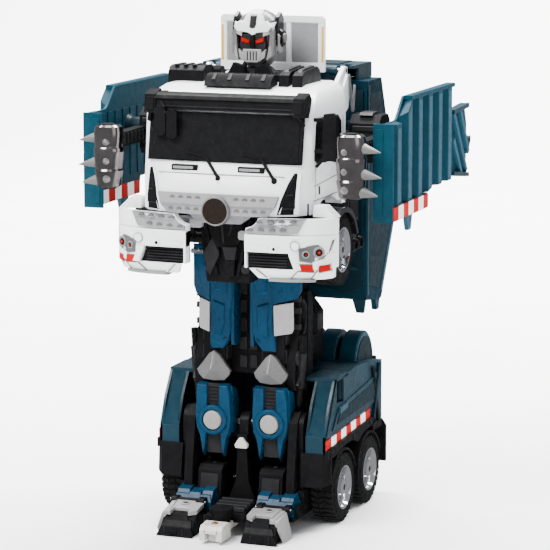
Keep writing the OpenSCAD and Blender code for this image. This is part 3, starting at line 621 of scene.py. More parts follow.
def leg_beam(side, sx):
    s = Shape(sx)
    # beam with rib pockets, cylinders and pivots
    s.across(17, 37, [(-70.5, 92), (-70.5, 296), (-66, 308), (-58, 308), (-53.5, 296), (-53.5, 92),
        (-58, 79), (-66, 79)], BLACK)
    for z in (142, 158, 218, 238):
        s.box((36.8, -69, z), (38.4, -55, z + 12), DARK_GREY)
        s.box((15.6, -69, z), (17.2, -55, z + 12), DARK_GREY)
    for z in (87, 300):
        s.turned((38, -62, z), (40.5, -62, z), [(9, 0), (9, 0.7), (7.5, 1)], DARK_GREY, 32)
    # inner column between the legs and the ribbed guard beside the knee
    s.box((0, -58.6, 129), (16, -53.4, 237.4), BLACK)
    for z in range(134, 230, 16):
        s.box((1.4, -59.6, z), (8, -58.4, z + 11), DARK_GREY)
    s.across(38, 46, [(-66, 118), (-70, 130), (-68, 146), (-62, 158), (-59, 176), (-58, 196), (-53, 200),
        (-53, 118)], BLACK)
    s.turned((46, -61, 146), (48.2, -61, 146), [(7.5, 0), (7.5, 0.6), (6, 1), (3, 1), (2.4, 0.4)],
        DARK_GREY, 32)
    s.across(45.6, 48.5, arc(-64, 180, 19, 62, -62, 12) + arc(-64, 180, 16.4, -62, 62, 12), DARK_GREY)
    s.strip((46, -66, 122), (46, -57, 138), 4, 2.6, DARK_GREY, up=(1, 0, 0))
    s.strip((46, -55, 120), (46, -66, 136), 3, 1.6, BLACK, up=(1, 0, 0))
    for z in (160, 170, 184, 194):
        s.box((40, -60.5, z), (47.6, -57, z + 5), DARK_GREY)
    # outer column, its arm, and the stepped frame behind with slanted shoulders
    s.across(40.6, 49.6, [(-46.8, 109), (-33.6, 122.6), (-33.6, 194), (-39.2, 201.6), (-46.8, 201.6)],
        BLACK)
    s.deep(-47.6, -46.4, [(41.6, 114), (48.6, 114), (48.6, 190), (44.6, 199), (41.6, 199)], DARK_GREY)
    s.box((40.2, -34, 141), (42.6, -4, 157), BLACK)
    s.deep(-4.4, 14.4, [(10.4, 131.4), (42.6, 131.4), (42.6, 175), (27, 195.4), (27, 214.6), (10.4, 214.6)],
        BLACK)
    s.deep(-4.9, -4.2, [(32.6, 134), (41.8, 134), (41.8, 173), (32.6, 185)], DARK_GREY)
    s.across(42.3, 42.9, [(-2, 159), (12, 159), (12, 172), (-2, 174)], DARK_GREY)
    s.tube((46, -60, 104), (50, -60, 166), 3.0, BLACK, 16)
    s.tube((47, -60, 120), (49.4, -60, 150), 3.8, DARK_GREY, 16)
    s.across(30, 42, [(-53, 112), (-47, 114), (-47, 156), (-53, 158)], BLACK)
    piece(s, "leg_beam_" + side, "legs", "black_plastic", ("leg_frames", "leg_struts"), 0.5)


def thigh(side, sx):
    a = Shape(sx)
    # thigh armour: a shell round the front and the inner side, down to a chisel end
    face = [(7.6, 240), (30, 240), (28.8, 196), (28, 178), (29.8, 158), (29.4, 152), (18, 152), (12, 161),
        (9.8, 170), (10.2, 182), (8, 198)]
    lean = lambda z: -77.2 + max(0, 166 - z) * 0.25
    skin = lambda lift, pts: [(x, lean(z) + lift, z) for x, z in pts]
    a.loft([facing(-66, face), skin(1.2, face),
        [(18.5 + (x - 18.5) * 0.9, lean(z), 196 + (z - 196) * 0.985) for x, z in face]], BLUE)
    # raised middle field, split by a cross crease
    a.loft([skin(0.6, [(14, 192), (25.5, 196), (24.6, 176), (25, 164), (18, 164), (14.6, 174)]), skin(-1.2,
        [(15.2, 190.5), (24.4, 193.6), (23.6, 176), (23.8, 166), (18.8, 166), (15.8, 175)])], BLUE)
    a.loft([facing(-76.6, [(12, 199.5), (24, 203), (24, 239), (12, 239)]),
        facing(-78.6, [(13.4, 202), (22.6, 205), (22.6, 238), (13.4, 238)])], BLUE)
    a.across(7.4, 10.4,
        [(-75.6, 239), (-56, 239), (-56.4, 200), (-57, 168), (-62, 155), (-74, 156), (-75.4, 172)], BLUE)
    # a black strip along the crease: painted shade
    a.strip((13.6, lean(163), 163), (17.4, lean(161) - 0.2, 161), 0.8, 0.5, GLOSS)
    # hip wing, swept back to the outside
    wing = [(0.0, 240), (1.0, 240), (1.0, 204), (0.84, 197.5), (0.0, 194)]
    plate = lambda out: [(28.5 + 20.5 * k, -77.0 + 14.5 * k - out, z) for k, z in wing]
    a.loft([plate(-3), plate(0.2), plate(0.9)], BLUE)
    piece(a, "thigh_armour_" + side, "legs", "blue_plastic", ("thigh_covers",), 0.9, 3)

    g = Shape(sx)
    # light side plate set at an angle below the wing
    slant = lambda out, pts: [(29 + 14 * k, -77.2 + 11 * k - out, z) for k, z in pts]
    g.loft([slant(o, [(0, 193), (0.98, 194.5), (1.0, 171), (0.92, 167.6), (0.04, 166.4)]) for o in (-3, 0)],
        SHADE_LIGHT)
    piece(g, "thigh_plate_" + side, "legs", "silver_plastic", (), 0.7)


def knee_cap(side, sx):
    mirror_x = lambda pts: pts + [(2 * LEG_X - x, z) for x, z in reversed(pts) if x != LEG_X]
    k = Shape(sx)
    # knee cap: a pointed silver shield with a ridge down to its middle
    cap = mirror_x([(LEG_X, 150.4), (LEG_X + 4.4, 147.5), (LEG_X + 11.2, 138.5), (LEG_X + 15.4, 133.2),
        (LEG_X + 13.6, 128.8), (LEG_X + 9.5, 125.0), (LEG_X, 124.0)])
    step = lambda f, y: [(LEG_X + (x - LEG_X) * f, y, 134.5 + (z - 134.5) * f) for x, z in cap]
    k.loft([step(0.96, -70.5), step(1.0, -74.6), step(0.985, -75.6), step(0.06, -83.4)], SILVER)
    piece(k, "knee_cap_" + side, "legs", "silver_plastic", ("knee_caps",), 0.5, 3, 12)


def shin(side, sx):
    c = Shape(sx)
    # shin armour: two blue wings with fangs and deep sides, a dark strip between, and the ringed disc
    wing = [(5.2, 121.6), (14.2, 121.6), (16.2, 112), (17.2, 92), (16.0, 82), (12.6, 74), (9.4, 56.8),
        (7.4, 66), (6.6, 76), (5.2, 80)]
    for f in (-1, 1):
        pts = [(LEG_X + f * x, z) for x, z in wing]
        mid = [(LEG_X + f * (8.6 + (x - 8.6) * 0.84), 95 + (z - 95) * 0.93) for x, z in wing]
        c.loft([facing(-70.5, pts), facing(-74.6, pts), facing(-77.8, mid)], BLUE)
        c.across(LEG_X + f * 14.4, LEG_X + f * 16.6,
            [(-74, 120), (-62, 116), (-58, 104), (-60, 88), (-68, 78), (-74, 80)], BLUE)
    c.deep(-75.4, -70.5,
        [(LEG_X - 5.3, 121.6), (LEG_X + 5.3, 121.6), (LEG_X + 6.4, 103), (LEG_X - 6.4, 103)], DARK_GREY)
    for z in (118, 115, 112, 109, 106):
        c.strip((LEG_X - 4.6, -75.2, z), (LEG_X + 4.6, -75.2, z), 0.9, 0.7, BLACK)
    c.deep(-73.6, -70.5, [(LEG_X - 7, 84), (LEG_X + 7, 84), (LEG_X + 7, 60), (LEG_X - 7, 60)], DARK_GREY)
    c.turned((LEG_X, -74, 90), (LEG_X, -80.0, 90), [(13.2, 0), (13.2, 0.78), (12, 1), (9.2, 1), (9.2, 0.6)],
        BLUE, 56)
    c.turned((LEG_X, -76, 90), (LEG_X, -81.2, 90),
        [(8.4, 0), (8.4, 0.62), (7.6, 0.86), (4.6, 0.97), (2, 1)], DISC, 48)
    piece(c, "shin_armour_" + side, "legs", "blue_plastic", ("shin_covers",), 0.7, 3)


def legs():
    for side, sx in SIDES:
        leg_beam(side, sx)
        thigh(side, sx)
        knee_cap(side, sx)
        shin(side, sx)


# ---------------------------------------------------------------- cab

HALF = 75.0
SCREEN = ((-116.5, 318.0), (-109.0, 359.0))


def screen_y(z):
    (y0, z0), (y1, z1) = SCREEN
    return y0 + (y1 - y0) * (z - z0) / (z1 - z0)


def nose_ring(z, front, corner, side, half=HALF, x_front=50.0, x_corner=66.0):
    """One level of the cab's outline: flat nose, two bends to each side, straight sides, flat back."""
    right = [(x_front * 0.5, front + 0.3), (x_front, front + 1.2), (x_corner, corner), (half - 1.2, side),
        (half, side + 4), (half, -24), (half - 2, -20)]
    left = [(-x, y) for x, y in reversed(right)]
    return lying(z, right + left)


def cab():
    s = Shape()
    levels = [(277, -131.0, -123.0, -110), (279, -132.0, -124.0, -110), (290, -132.0, -123.0, -110),
        (303, -127.0, -119.5, -110), (313, -121.5, -116.5, -109), (318, -117.5, -115.0, -108),
        (338, -113.8, -111.5, -106), (359, -110.0, -107.5, -104)]
    rings = [nose_ring(z, f, c, d) for z, f, c, d in levels]
    rings += [nose_ring(366, -103, -101, -98, 74.5), nose_ring(374, -92, -90, -88, 72.5, 50, 64),
        nose_ring(378, -80, -79, -77, 69, 48, 60), nose_ring(380, -66, -66, -64, 63, 44, 56)]
    s.loft(rings, WHITE)
    body = solid(s, "cab_body")
    c = Shape()
    c.box((-60.3, -93, 262), (60.3, -10, 349.3), SHADE)
    c.tube((0, -33, 331), (0, -33, 395), 31, SHADE, 64)
    # wheel arches and the sills cut out of the lower edge
    for _ in c.both():
        c.tube((52, *FRONT_AXLE), (90, *FRONT_AXLE), 45, SHADE, 64)
        c.box((60, -96, 262), (90, -34, 281), SHADE)
        c.box((49, -112.8, 262), (73, -90, 286.6), SHADE)
    cut(body, solid(c, "cab_cut"))
    soften(body, 0.7, 2, 38)
    settle(body, "torso", "white_plastic", ("cab_shell",))

    lines = Shape()
    # hood edge line, panel gaps and door lines as narrow dark strips: painted shade standing in for grooves
    hood = lambda x, z, lift=0.25: (x, -121.5 - (313 - z) * 0.55 + abs(x) ** 3 * 0.00001 - lift, z)
    for x0, x1 in ((-56, -20), (-20, 20), (20, 56)):
        lines.strip(hood(x0, 309), hood(x1, 309), 0.7, 0.35, SHADE)
    for _ in lines.both():
        x = HALF - 0.1
        for a, b in (((-106, 288), (-25, 288)), ((-101, 316), (-101, 290)), ((-31, 352), (-31, 290)),
                ((-104, 300), (-31, 304))):
            lines.strip((x, a[0], a[1]), (x, b[0], b[1]), 0.8, 0.3, SHADE, (1, 0, 0))
        lines.strip((x, -46, 297), (x, -37, 298), 3.0, 1.6, BLACK, (1, 0, 0))
        lines.strip((x, -44, 297.6), (x, -38, 298.3), 1.2, 2.2, WHITE, (1, 0, 0))
        lines.strip((x, -92, 292), (x, -92, 299), 2.2, 0.8, BLACK, (1, 0, 0))
    piece(lines, "cab_lines", "torso", "white_plastic", (), 0)

    g = Shape()
    # windscreen, its black surround, and the side windows
    for grow, lift, mat in ((2.5, 0.5, BLACK), (0, 1.5, GLASS)):
        low, high = 319.5 - grow * 0.4, 358.5
        g.loft([[(-66 - grow, screen_y(z) + 2, z), (66 + grow, screen_y(z) + 2, z),
            (65.5 + grow, screen_y(z) - 0.5 - lift * 0.8, z), (40, screen_y(z) - 1.4 - lift, z),
            (0, screen_y(z) - 1.9 - lift, z), (-40, screen_y(z) - 1.4 - lift, z),
            (-65.5 - grow, screen_y(z) - 0.5 - lift * 0.8, z)] for z in (low, high)], mat)
    window = [(-104, 321), (-100, 352), (-96, 356), (-44, 354), (-36, 348), (-35, 321), (-60, 316.5),
        (-94, 317.5)]
    for _ in g.both():
        g.across(HALF - 1, HALF + 0.5, window, BLACK)
        inner = [(-70 + (y + 70) * 0.93, 335 + (z - 335) * 0.9) for y, z in window]
        g.across(HALF - 1, HALF + 1.0, inner, GLASS)
    piece(g, "cab_glass", "torso", "tinted_window", ("cab_windows",), 0.4)

    v = Shape()
    # sun visor: a deep upright band with a lip, two raised end blocks and brackets
    v.across(-70.5, 70.5,
        [(-116.2, 360.5), (-114.6, 371.4), (-112, 373.2), (-104, 374.2), (-100, 370), (-107, 359.5)], MATT)
    v.across(-69, 69,
        [(-116.8, 369.6), (-115.4, 372.4), (-112, 374.2), (-106, 374.8), (-106, 371), (-112, 369.6)], BLACK)
    for _ in v.both():
        v.across(61, 71, [(-117.4, 357.5), (-116, 373), (-104, 377), (-98, 371), (-105, 356.5)], MATT)
        v.across(62.5, 69.5, [(-117.9, 360), (-116.9, 370.5), (-115, 371), (-115, 359)], BLACK)
        v.strip((66, -116, 358), (69, -111, 350), 3, 1.5, MATT)
    v.strip((-60, -116.4, 363.6), (60, -116.4, 363.6), 0.8, 0.5, DARK_GREY)
    piece(v, "visor", "torso", "black_plastic", ("sun_visor",), 0.7)

    w = Shape()
    # wipers and hood vents
    for x in (-2, 47.4):
        w.strip((x, -124.4, 306.5), (x - 13.5, -117.8, 322.5), 2.6, 1.6, MATT)
        w.strip((x - 13, -118.2, 322), (x - 30, -118.6, 326), 1.6, 1.2, BLACK)
        w.turned((x, -122, 306), (x, -126.4, 305), [(2.5, 0), (2.5, 0.7), (1.7, 1)], MATT, 20)
    for x in (-33, 26):
        w.box((x - 11.5, -122.6, 311.2), (x + 11.5, -118, 315.8), BLACK)
        w.box((x - 10, -123.0, 312.4), (x + 8, -119, 314.6), GREY)
    w.turned((-1, -124.2, 303), (-1, -127.4, 302.5), [(1.8, 0), (1.4, 1)], WHITE, 20)
    piece(w, "wipers_vents", "torso", "black_plastic", (), 0.3)


def grille():
    s = Shape()
    # grey panel in two stepped bands, lower in the middle, with rows of half-round dimples in a darker grey,
    # painted shade in their hollows
    for z0, z1, x0, x1, y0, y1 in ((284.4, 293.6, 50.5, 53.5, -133.8, -131.4),
            (276.5, 283.6, 44, 50, -133.2, -133.6)):
        s.loft([[(-x, -128, z), (x, -128, z), (x, y, z), (0, y - 1.1, z), (-x, y, z)]
            for x, z, y in ((x0, z0, y0), (x1, z1, y1))], PANEL_GREY)
    s.deep(-126.2, -122.0, [(-31, 277.6), (31, 277.6), (18, 268.5), (-18, 268.5)], PANEL_GREY)
    for z, first, y in ((289.4, 17, -133.4), (280.0, 18, -134.6)):
        for i in range(4):
            for _ in s.both():
                x = first + 7.6 * i
                s.loft([[(x + px, y + d + x * 0.02, z + pz)
                    for px, pz in [(2.4 * math.cos(a), 2.2 * math.sin(a)) for a in HALF_TURN]]
                    for d in (2.0, -0.5)], DIMPLE_SHADE)
    # dark line between the two bands: painted shade at the step
    s.strip((-50, -134.4, 284.0), (50, -134.4, 284.0), 0.8, 0.4, SHADE)
    piece(s, "grille", "torso", "silver_plastic", ("grille_panel",), 0.3)
    b = Shape()
    b.turned((0, -131, 280), (0, -138, 280), [(12.3, 0), (12.3, 0.8), (11.9, 1), (10.8, 1), (10.8, 0.8)],
        SILVER, 64)
    b.turned((0, -133, 280), (0, -137.6, 280), [(10.9, 0), (10.9, 0.9), (10.2, 1)], BADGE, 64)
    piece(b, "badge_round", "torso", "badge_disc", ("badge",), 0.2)


def lamps_and_mirrors():
    for side, sx in SIDES:
        s = Shape(sx)
        # dark corner vent beside the nose, wide at its foot, between two white posts
        corner = [(278.6, -131.6, -123.2), (290, -132.0, -123.0), (303, -127.0, -119.5),
            (312, -122.0, -116.8)]

        def level(k, x0, x1, lift):
            z, front, back = corner[k]
            y = lambda x: front + 1.2 + (back - front - 1.2) * (x - 50) / 16
            return [(x0, y(x0) - lift, z), (x1, y(x1) - lift, z), (x1, y(x1) + 2, z), (x0, y(x0) + 2, z)]
        inner = (51.5, 54.5, 58.5, 62.5)
        s.loft([level(k, inner[k], 66.0, 0.5) for k in range(4)], MATT)
        s.loft([level(k, inner[k] + 2.6, 64.6, 0.9) for k in range(4)], GLOSS)
        for k in range(3):
            z = corner[k][0] + 5
            s.strip((inner[k] + 4.5, level(k, 58, 60, 1.0)[0][1] - 1.5 + 5 * 0.2, z),
                (63.6, level(k, 63, 64, 1.0)[0][1] + 0.4, z), 0.9, 0.6, DARK_GREY)
        s.loft([level(k, inner[k] - 1.6, inner[k] + 0.2, 1.3) for k in range(4)], WHITE)
        s.loft([level(k, 65.6, 68.4, 0.9) for k in range(4)], WHITE)
        piece(s, "corner_vent_" + side, "torso", "white_plastic", (), 0.4)
    m = Shape()
    # left door mirror: a tall black housing on two arms, with its glass behind
    m.loft([[(82, y, 322), (94, y, 321), (94.4, y, 340), (94, y, 359), (91, y, 361), (83, y, 360),
        (81.6, y, 340)] for y in (-104.2, -99.8)], BLACK)
    m.loft([[(83.5, y, 325), (92.5, y, 325), (92.5, y, 356), (83.5, y, 356)] for y in (-99.9, -99.4)],
        CHROME)
    for z in (329, 355):
        m.strip((74, -101, z), (83, -102, z), 3, 2.4, BLACK, (0, -1, 0))
    m.strip((76, -101, 316), (84, -102, 324), 2.6, 2.2, BLACK)
    m.strip((75, -98, 313), (82, -101, 320), 3.4, 2.0, WHITE)
    # front mirrors of the other corner, hung from the visor
    for x0, x1, z0, z1, y in ((-61, -51, 339, 363, -119.5), (-50, -40.5, 337, 361, -120.5)):
        m.loft([[(x0, y0, z0 + 2), (x0 + 2, y0, z0), (x1 - 2, y0, z0), (x1, y0, z0 + 2), (x1, y0, z1 - 2),
            (x1 - 2, y0, z1), (x0 + 2, y0, z1), (x0, y0, z1 - 2)] for y0 in (y, y + 2.6)], BLACK)
    m.tube((-61, -110, 371), (-52, -119, 362), 1.7, BLACK, 16)
    m.turned((-62, -93, 369), (-62, -93, 374), [(4, 0), (4, 0.6), (2.6, 1)], BLACK, 24)
    m.tube((-62, -94, 372), (-61, -111, 371), 1.7, BLACK, 16)
    m.tube((-52, -119, 358), (-46, -119, 358), 1.4, BLACK, 12)
    piece(m, "mirror_set", "torso", "black_plastic", ("mirrors",), 0.6)


def roof_gear():
    s = Shape()
    # black armour around the head on the roof
    s.across(-70, -38, [(-66, 376), (-66, 389), (-60, 393), (-46, 393), (-40, 388), (-40, 376)], BLACK)
    for x in (-66, -58, -50):
        s.box((x, -63, 392.6), (x + 4, -44, 393.8), DARK_GREY)
    s.across(-52, -34, [(-37, 378), (-37, 388), (-34, 391), (-27, 390), (-24.6, 384), (-24.6, 376)], BLACK)
    s.across(-30, 30, [(-86, 378), (-83, 384), (-78, 388), (-70, 388.5), (-67, 379)], BLACK)
    for x in (-22, -8, 8, 22):
        s.strip((x, -83.5, 383), (x, -77, 388), 3.5, 1.2, DARK_GREY, (0, -0.7, 0.7))
    for x in (33, 45):
        s.across(x, x + 9, [(-76, 378), (-74, 388), (-68, 391), (-36, 393), (-30, 390), (-26, 378)], BLACK)
        s.across(x + 2.5, x + 6.5, [(-70, 390), (-66, 392.6), (-38, 394), (-34, 391)], DARK_GREY)
    s.across(-90, -64, [(-19, 367), (-19, 382), (-16, 387.5), (-6, 387.5), (-3.2, 383), (-3.2, 367)], BLACK)
    for y in (-17, -13, -9, -5.5):
        s.box((-90.6, y, 370), (-89.6, y + 2, 384), DARK_GREY)
    for x in (37, -41):
        s.across(x, x + 4, [(-22, 377), (4, 377.8), (5, 381), (4, 384.2), (-1.6, 384.2), (-22, 381)], WHITE)
    for x in (60, -64):
        s.across(x, x + 4, [(-21, 352), (-6, 356), (13.6, 384), (13, 389.2), (7, 390), (-21, 372)], WHITE)
    # white hooked bracket on the rear corner
    s.across(71, 73.5, [(-22, 352), (-12, 356), (-6, 372), (-8, 382), (-14, 385), (-22, 376)], WHITE)
    s.strip((73.5, -11, 384), (75.5, -6, 352), 2.6, 2, PANEL_GREY, (0, -0.5, 0.5))
    s.strip((75.5, -6, 352), (75.5, -1, 374), 2.2, 2, PANEL_GREY, (0, -0.5, 0.5))
    piece(s, "roof_pieces", "torso", "black_plastic", ("roof_armour",), 0.7)


def side_gear():
    for side, sx in SIDES:
        s = Shape(sx)
        # grey equipment box, ladder step with black bars and two air tanks
        s.box((57, -18, 257), (75.5, 10, 281), DARK_GREY)
        s.across(75.5, 76.3, [(-15, 260), (-15, 278), (7, 278), (7, 260)], BLACK)
        s.box((58, -16, 281), (74, 8, 283), GREY)
        s.box((72, -22, 226), (77, -18.5, 258), PALE)
        for z in (229, 236, 243, 250):
            s.strip((72, -22.2, z), (77.2, -22.2, z + 3), 2.2, 0.5, BLACK)
            s.strip((77.0, -22, z), (77.0, -18.4, z + 2), 2.2, 0.5, BLACK, (1, 0, 0))
        s.box((68, -15, 240), (78, -2, 256), DARK_GREY)
        for y in (-8, 6):
            s.turned((60, y, 238), (80, y, 238),
                [(5.2, 0), (6.4, 0.06), (6.4, 0.9), (5.0, 1), (4.2, 1), (4.2, 0.9)], GLOSS, 36)
        piece(s, "side_boxes_" + side, "torso", "silver_plastic", ("side_tanks",), 0.6)


def waist():
    s = Shape()
    # the black mechanism between the bumper halves
    s.deep(-108, -84, [(-24, 283), (24, 283), (24, 252), (19, 216), (-19, 216), (-24, 252)], BLACK)
    s.deep(-112, -107.6, [(-17, 276), (17, 276), (15, 258), (9, 246), (-9, 246), (-15, 258)], BLACK)
    s.strip((-4, -111.5, 274), (-2, -111.5, 250), 2.2, 1.4, DARK_GREY)
    s.strip((7, -111.5, 272), (3, -111.5, 256), 1.8, 1.4, DARK_GREY)
    s.deep(-111.8, -107.5, [(-12, 256), (-6, 240), (-15, 222), (-21, 240)], DARK_GREY)
    s.deep(-114, -107.5, [(-3, 247), (10, 247), (8, 236), (0, 236)], DARK_GREY)
    s.deep(-113, -107.5, [(-1, 236), (8, 236), (7, 222), (1, 222)], GLOSS)
    for _ in s.both():
        s.strip((21, -108, 270), (9, -108, 222), 3.4, 2.4, BLACK)
        s.turned((16, -108, 228), (16, -110.4, 228), [(4, 0), (4, 0.7), (3, 1)], DARK_GREY, 28)
        s.tube((20, -104, 268), (66.3, -104, 268), 2.45, STEEL, 24)
        s.tube((20, -100, 240), (36, -100, 240), 2.2, STEEL, 20)
    s.box((-21, -84.5, 217), (21, -74, 262), BLACK)
    piece(s, "waist_mechanism", "torso", "black_plastic", ("waist_block",), 0.5)


# ---------------------------------------------------------------- bumper halves

BUMPER = [(26, -138), (58, -137), (74, -133.5), (85, -128), (93, -120.5), (97, -113)]
LAST_X = 96.8        # detail plates stop just short of the outer end


def face_y(x):
    """Depth of the bumper's front face at a place across."""
    for (x0, y0), (x1, y1) in zip(BUMPER, BUMPER[1:]):
        if x <= x1:
            return y0 + (y1 - y0) * (x - x0) / (x1 - x0)
    return BUMPER[-1][1]


def on_face(pts, lift, back=3.0):
    """Rings for a plate that follows the bumper's face: pts are [across, height]."""
    return [[(x, face_y(x) + back, z) for x, z in pts], [(x, face_y(x) - lift, z) for x, z in pts]]


def bumper_shell(side, sx, body):
    s = Shape(sx)
    back = [(97, -104), (93, -103), (90, -109), (84, -118), (72, -124), (58, -126.5), (26, -126.5)]
    s.plan(248, 262.5, BUMPER + back, WHITE)
    # top rail that carries the grey strip, rising to the outer corner, notched beside the badge
    rail = [(58, -134.5), (74, -131.5), (85, -126.5), (93, -119.5), (97, -113)] + back[:-1]
    s.plan(262.5, 275.8, rail + [(58, -126.5)], WHITE)
    notch = [(26, 262.4), (58, 262.4), (58, 275.8)] + arc(25, 280, 12.8, -19.2, -85.6, 9)
    s.loft([facing(-126.5, notch), [(x, -135.5 + (x - 26) / 32, z) for x, z in notch]], WHITE)
    # skirt under the intake: leans back and narrows
    rim = [(29, -136.5), (58, -135.5), (74, -132), (85, -126.5), (92, -120), (96, -113)]
    foot = [(36, -131), (58, -130.5), (74, -127), (84, -122.5), (90, -117), (94, -111)]
    inner = [(94, -103), (91, -104), (88, -109), (82, -115), (72, -120), (58, -123), (36, -124)]
    s.loft([lying(225.5, foot + inner), lying(234.5, rim + inner)], WHITE)
    s.plan(234.4, 248.1, [(26, -130), (58, -129.5), (74, -127.4), (85, -123), (93, -117), (96, -111)]
        + back, WHITE)
    s.loft([[(x0, -136.6, z), (x0 + 6, -135, z), (74, -133.3, z), (85, -127.8, z),
        (93, -120.4, z), (96.9, -113, z), (95, -106, z), (88, -114, z), (72, -125, z), (x0, -128, z)]
        for x0, z in ((69, 234.4), (63.5, 248.1))], WHITE)
    # inner end cheek, fender wedge and the white fender in front of the wheel
    s.box((26, -137.6, 234.6), (28.2, -126.5, 262.3), WHITE)
    s.loft([[(76.5, -112, 275.6), (97, -112, 275.6), (97, -99, 275.6), (76.5, -99, 275.6)],
        [(76.5, -110, 285.2), (87, -110, 285.2), (87, -99, 285.2), (76.5, -99, 285.2)]], WHITE)
    piece(s, "bumper_shell_" + side, body, "white_plastic", ("bumper_" + side,), 0.8, 3)


def bumper_detail(side, sx, body):
    d = Shape(sx)
    # grey strip, proud of the rail along its whole length, with two rows of dimples in a darker grey: painted
    # shade in their hollows
    low_edge, top_edge = [(27, 263.4), (60, 263.4), (71, 264.5)], [(77, 276.2), (60, 275.9), (38.4, 275.6),
        (36.2, 271.8), (32.6, 268.6), (27, 266.6)]
    d.loft(on_face(low_edge + top_edge, -0.6, 6), PANEL_GREY)
    # dark line along the strip: painted shade
    d.strip((37, -137.1, 269.9), (73, -132.6, 271.4), 0.7, 0.3, SHADE)
    for z0, first in ((273.0, 39), (266.2, 31)):
        for i in range(4):
            x = first + 9.4 * i
            top = [(x + 2.8 * math.cos(a), z0 + (x - 30) * 0.03 + 2.3 * math.sin(a) - 0.8)
                for a in HALF_TURN]
            d.loft(on_face(top, -0.1, 4), DIMPLE_SHADE)
    # dark intake with its mesh bars
    d.loft(on_face([(28.4, 234.7), (68, 234.0), (62.6, 247.4), (28.4, 247.9)], -3.2, 8), MATT)
    for z in (236.8, 239.2, 241.6, 244.0):
        d.strip((29, -135.0, z), (62, -133.8, z), 0.8, 0.7, DARK_GREY)
    d.strip((28.6, -136.2, 247.2), (62.6, -135.0, 246.8), 1.4, 1.2, BLACK)
    # round cap, tow eye and a raised rail
    d.turned((69.5, face_y(69.5) + 1, 254.5), (69.5, face_y(69.5) - 1.4, 254.5),
        [(3.8, 0), (3.8, 0.6), (3.1, 1)], WHITE, 32)
    d.turned((69.5, face_y(69.5) - 1.0, 254.5), (69.5, face_y(69.5) - 1.5, 254.5),
        [(4.3, 0), (4.3, 1), (3.8, 1), (3.8, 0)], SHADE, 32)
    d.turned((52, face_y(52) + 1, 251.5), (52, face_y(52) - 1.6, 251.5),
        [(3.4, 0), (3.4, 0.6), (2.6, 1), (1.5, 1), (1.5, 0.4)], WHITE, 32)
    d.turned((52, face_y(52), 251.5), (52, face_y(52) - 0.7, 251.5), [(1.4, 0), (1.4, 1)], BLACK, 20)
    d.strip((30, face_y(30) + 0.5, 252), (47, face_y(47) + 0.5, 251.6), 3.2, 1.6, WHITE)
    # skirt panels parted by slanted ribs in dark grey, painted shade, and the lip below them
    for x0, x1 in ((44, 36), (64, 72), (80, 86)):
        d.strip((x0, face_y(x0) + 6.2, 226.5), (x1, face_y(x1) + 1.6, 234), 1.0, 1.0, SHADE)
    d.plan(223.8, 226.2,
        [(46, -133.5), (62, -132.8), (78, -128.5), (84, -124.5), (78, -121), (62, -125), (46, -126)], GREY)
    # lamp housing: dark shadow line, silver bowl and two round lamps
    lamp = [(73.5, 242.6), (72.6, 252.6), (84, 254.8), (96.4, 258.6), (94.4, 249.5), (90, 243.6), (82, 241)]
    grown = [(85 + (x - 85) * 1.07, 249.5 + (z - 249.5) * 1.12) for x, z in lamp]
    d.loft(on_face([(min(x, LAST_X), z) for x, z in grown], 0.25), SHADE)
    d.loft(on_face(lamp, 0.8), LAMP)
    # each lamp sits in a dark grey ring: painted shade
    for x, z, r in ((77.5, 247.6, 3.2), (87, 249, 4.8)):
        out = Vector((0.45, -0.9, 0))
        at = Vector((x, face_y(x), z))
        d.turned(at, at + out * 2.0, [(r, 0), (r, 0.7), (r - 0.8, 1), (r - 1.1, 0.7)], SHADE, 32)
        d.turned(at, at + out * 1.9, [(r * 0.66, 0), (r * 0.66, 0.7), (r * 0.3, 1)], GLASS, 28)
        d.turned(at, at + out * 2.1, [(r * 0.34, 0), (r * 0.34, 0.85), (r * 0.1, 1)], RED_LENS, 20)
    # red reflectors in shallow frames of dark grey, painted shade
    for pts in ([(72.4, 233.6), (73.2, 239.2), (82.6, 238.8), (83.4, 232.8)],
            [(87, 232.4), (87.2, 237.6), (94, 238.8), (94.4, 233.4)]):
        grown = [(83 + (x - 83) * 1.06, 236 + (z - 236) * 1.25) for x, z in pts]
        d.loft(on_face([(min(x, LAST_X), z) for x, z in grown], 0.3), SHADE)
        d.loft(on_face(pts, 0.9), RED_LENS)
    # grey rounded tab at the inner end
    low_z = 255.5 if sx > 0 else 264
    d.deep(-126.3, -121.5, [(17.5, low_z), (16.2, low_z + 1.5), (16.2, low_z + 6), (17.5, low_z + 7.5),
        (27, low_z + 7.5), (27, low_z)], GREY)
    piece(d, "bumper_detail_" + side, body, "silver_plastic", (), 0.25)


def wheel_carrier(side, sx, body):
    k = Shape(sx)
    # wheel carrier: plate, arch over the tyre with ribs, and the stub axle
    k.box((62, -118, 236), (65, -44, 274), BLACK)
    k.box((62, -127, 240), (70, -116, 262), BLACK)
    k.across(65, 90, arc(*FRONT_AXLE, 35.6, 158, 16, 24) + arc(*FRONT_AXLE, 32.6, 16, 158, 24), BLACK)
    k.across(88, 91, arc(*FRONT_AXLE, 36.0, 158, 16, 24) + arc(*FRONT_AXLE, 31.6, 16, 158, 24), GLOSS)
    k.tube((62, *FRONT_AXLE), (88, *FRONT_AXLE), 2.4, STEEL, 24)
    k.turned((62.5, -104, 268), (70, -104, 268), [(5, 0), (5, 1), (2.6, 1), (2.6, 0)], BLACK, 32)
    piece(k, "wheel_carrier_detail_" + side, body, "black_plastic", ("wheel_carrier_" + side,), 0.4)


def bumpers():
    for side, sx in SIDES:
        body = "front_quarter_" + side
        bumper_shell(side, sx, body)
        bumper_detail(side, sx, body)
        wheel_carrier(side, sx, body)


# ---------------------------------------------------------------- head

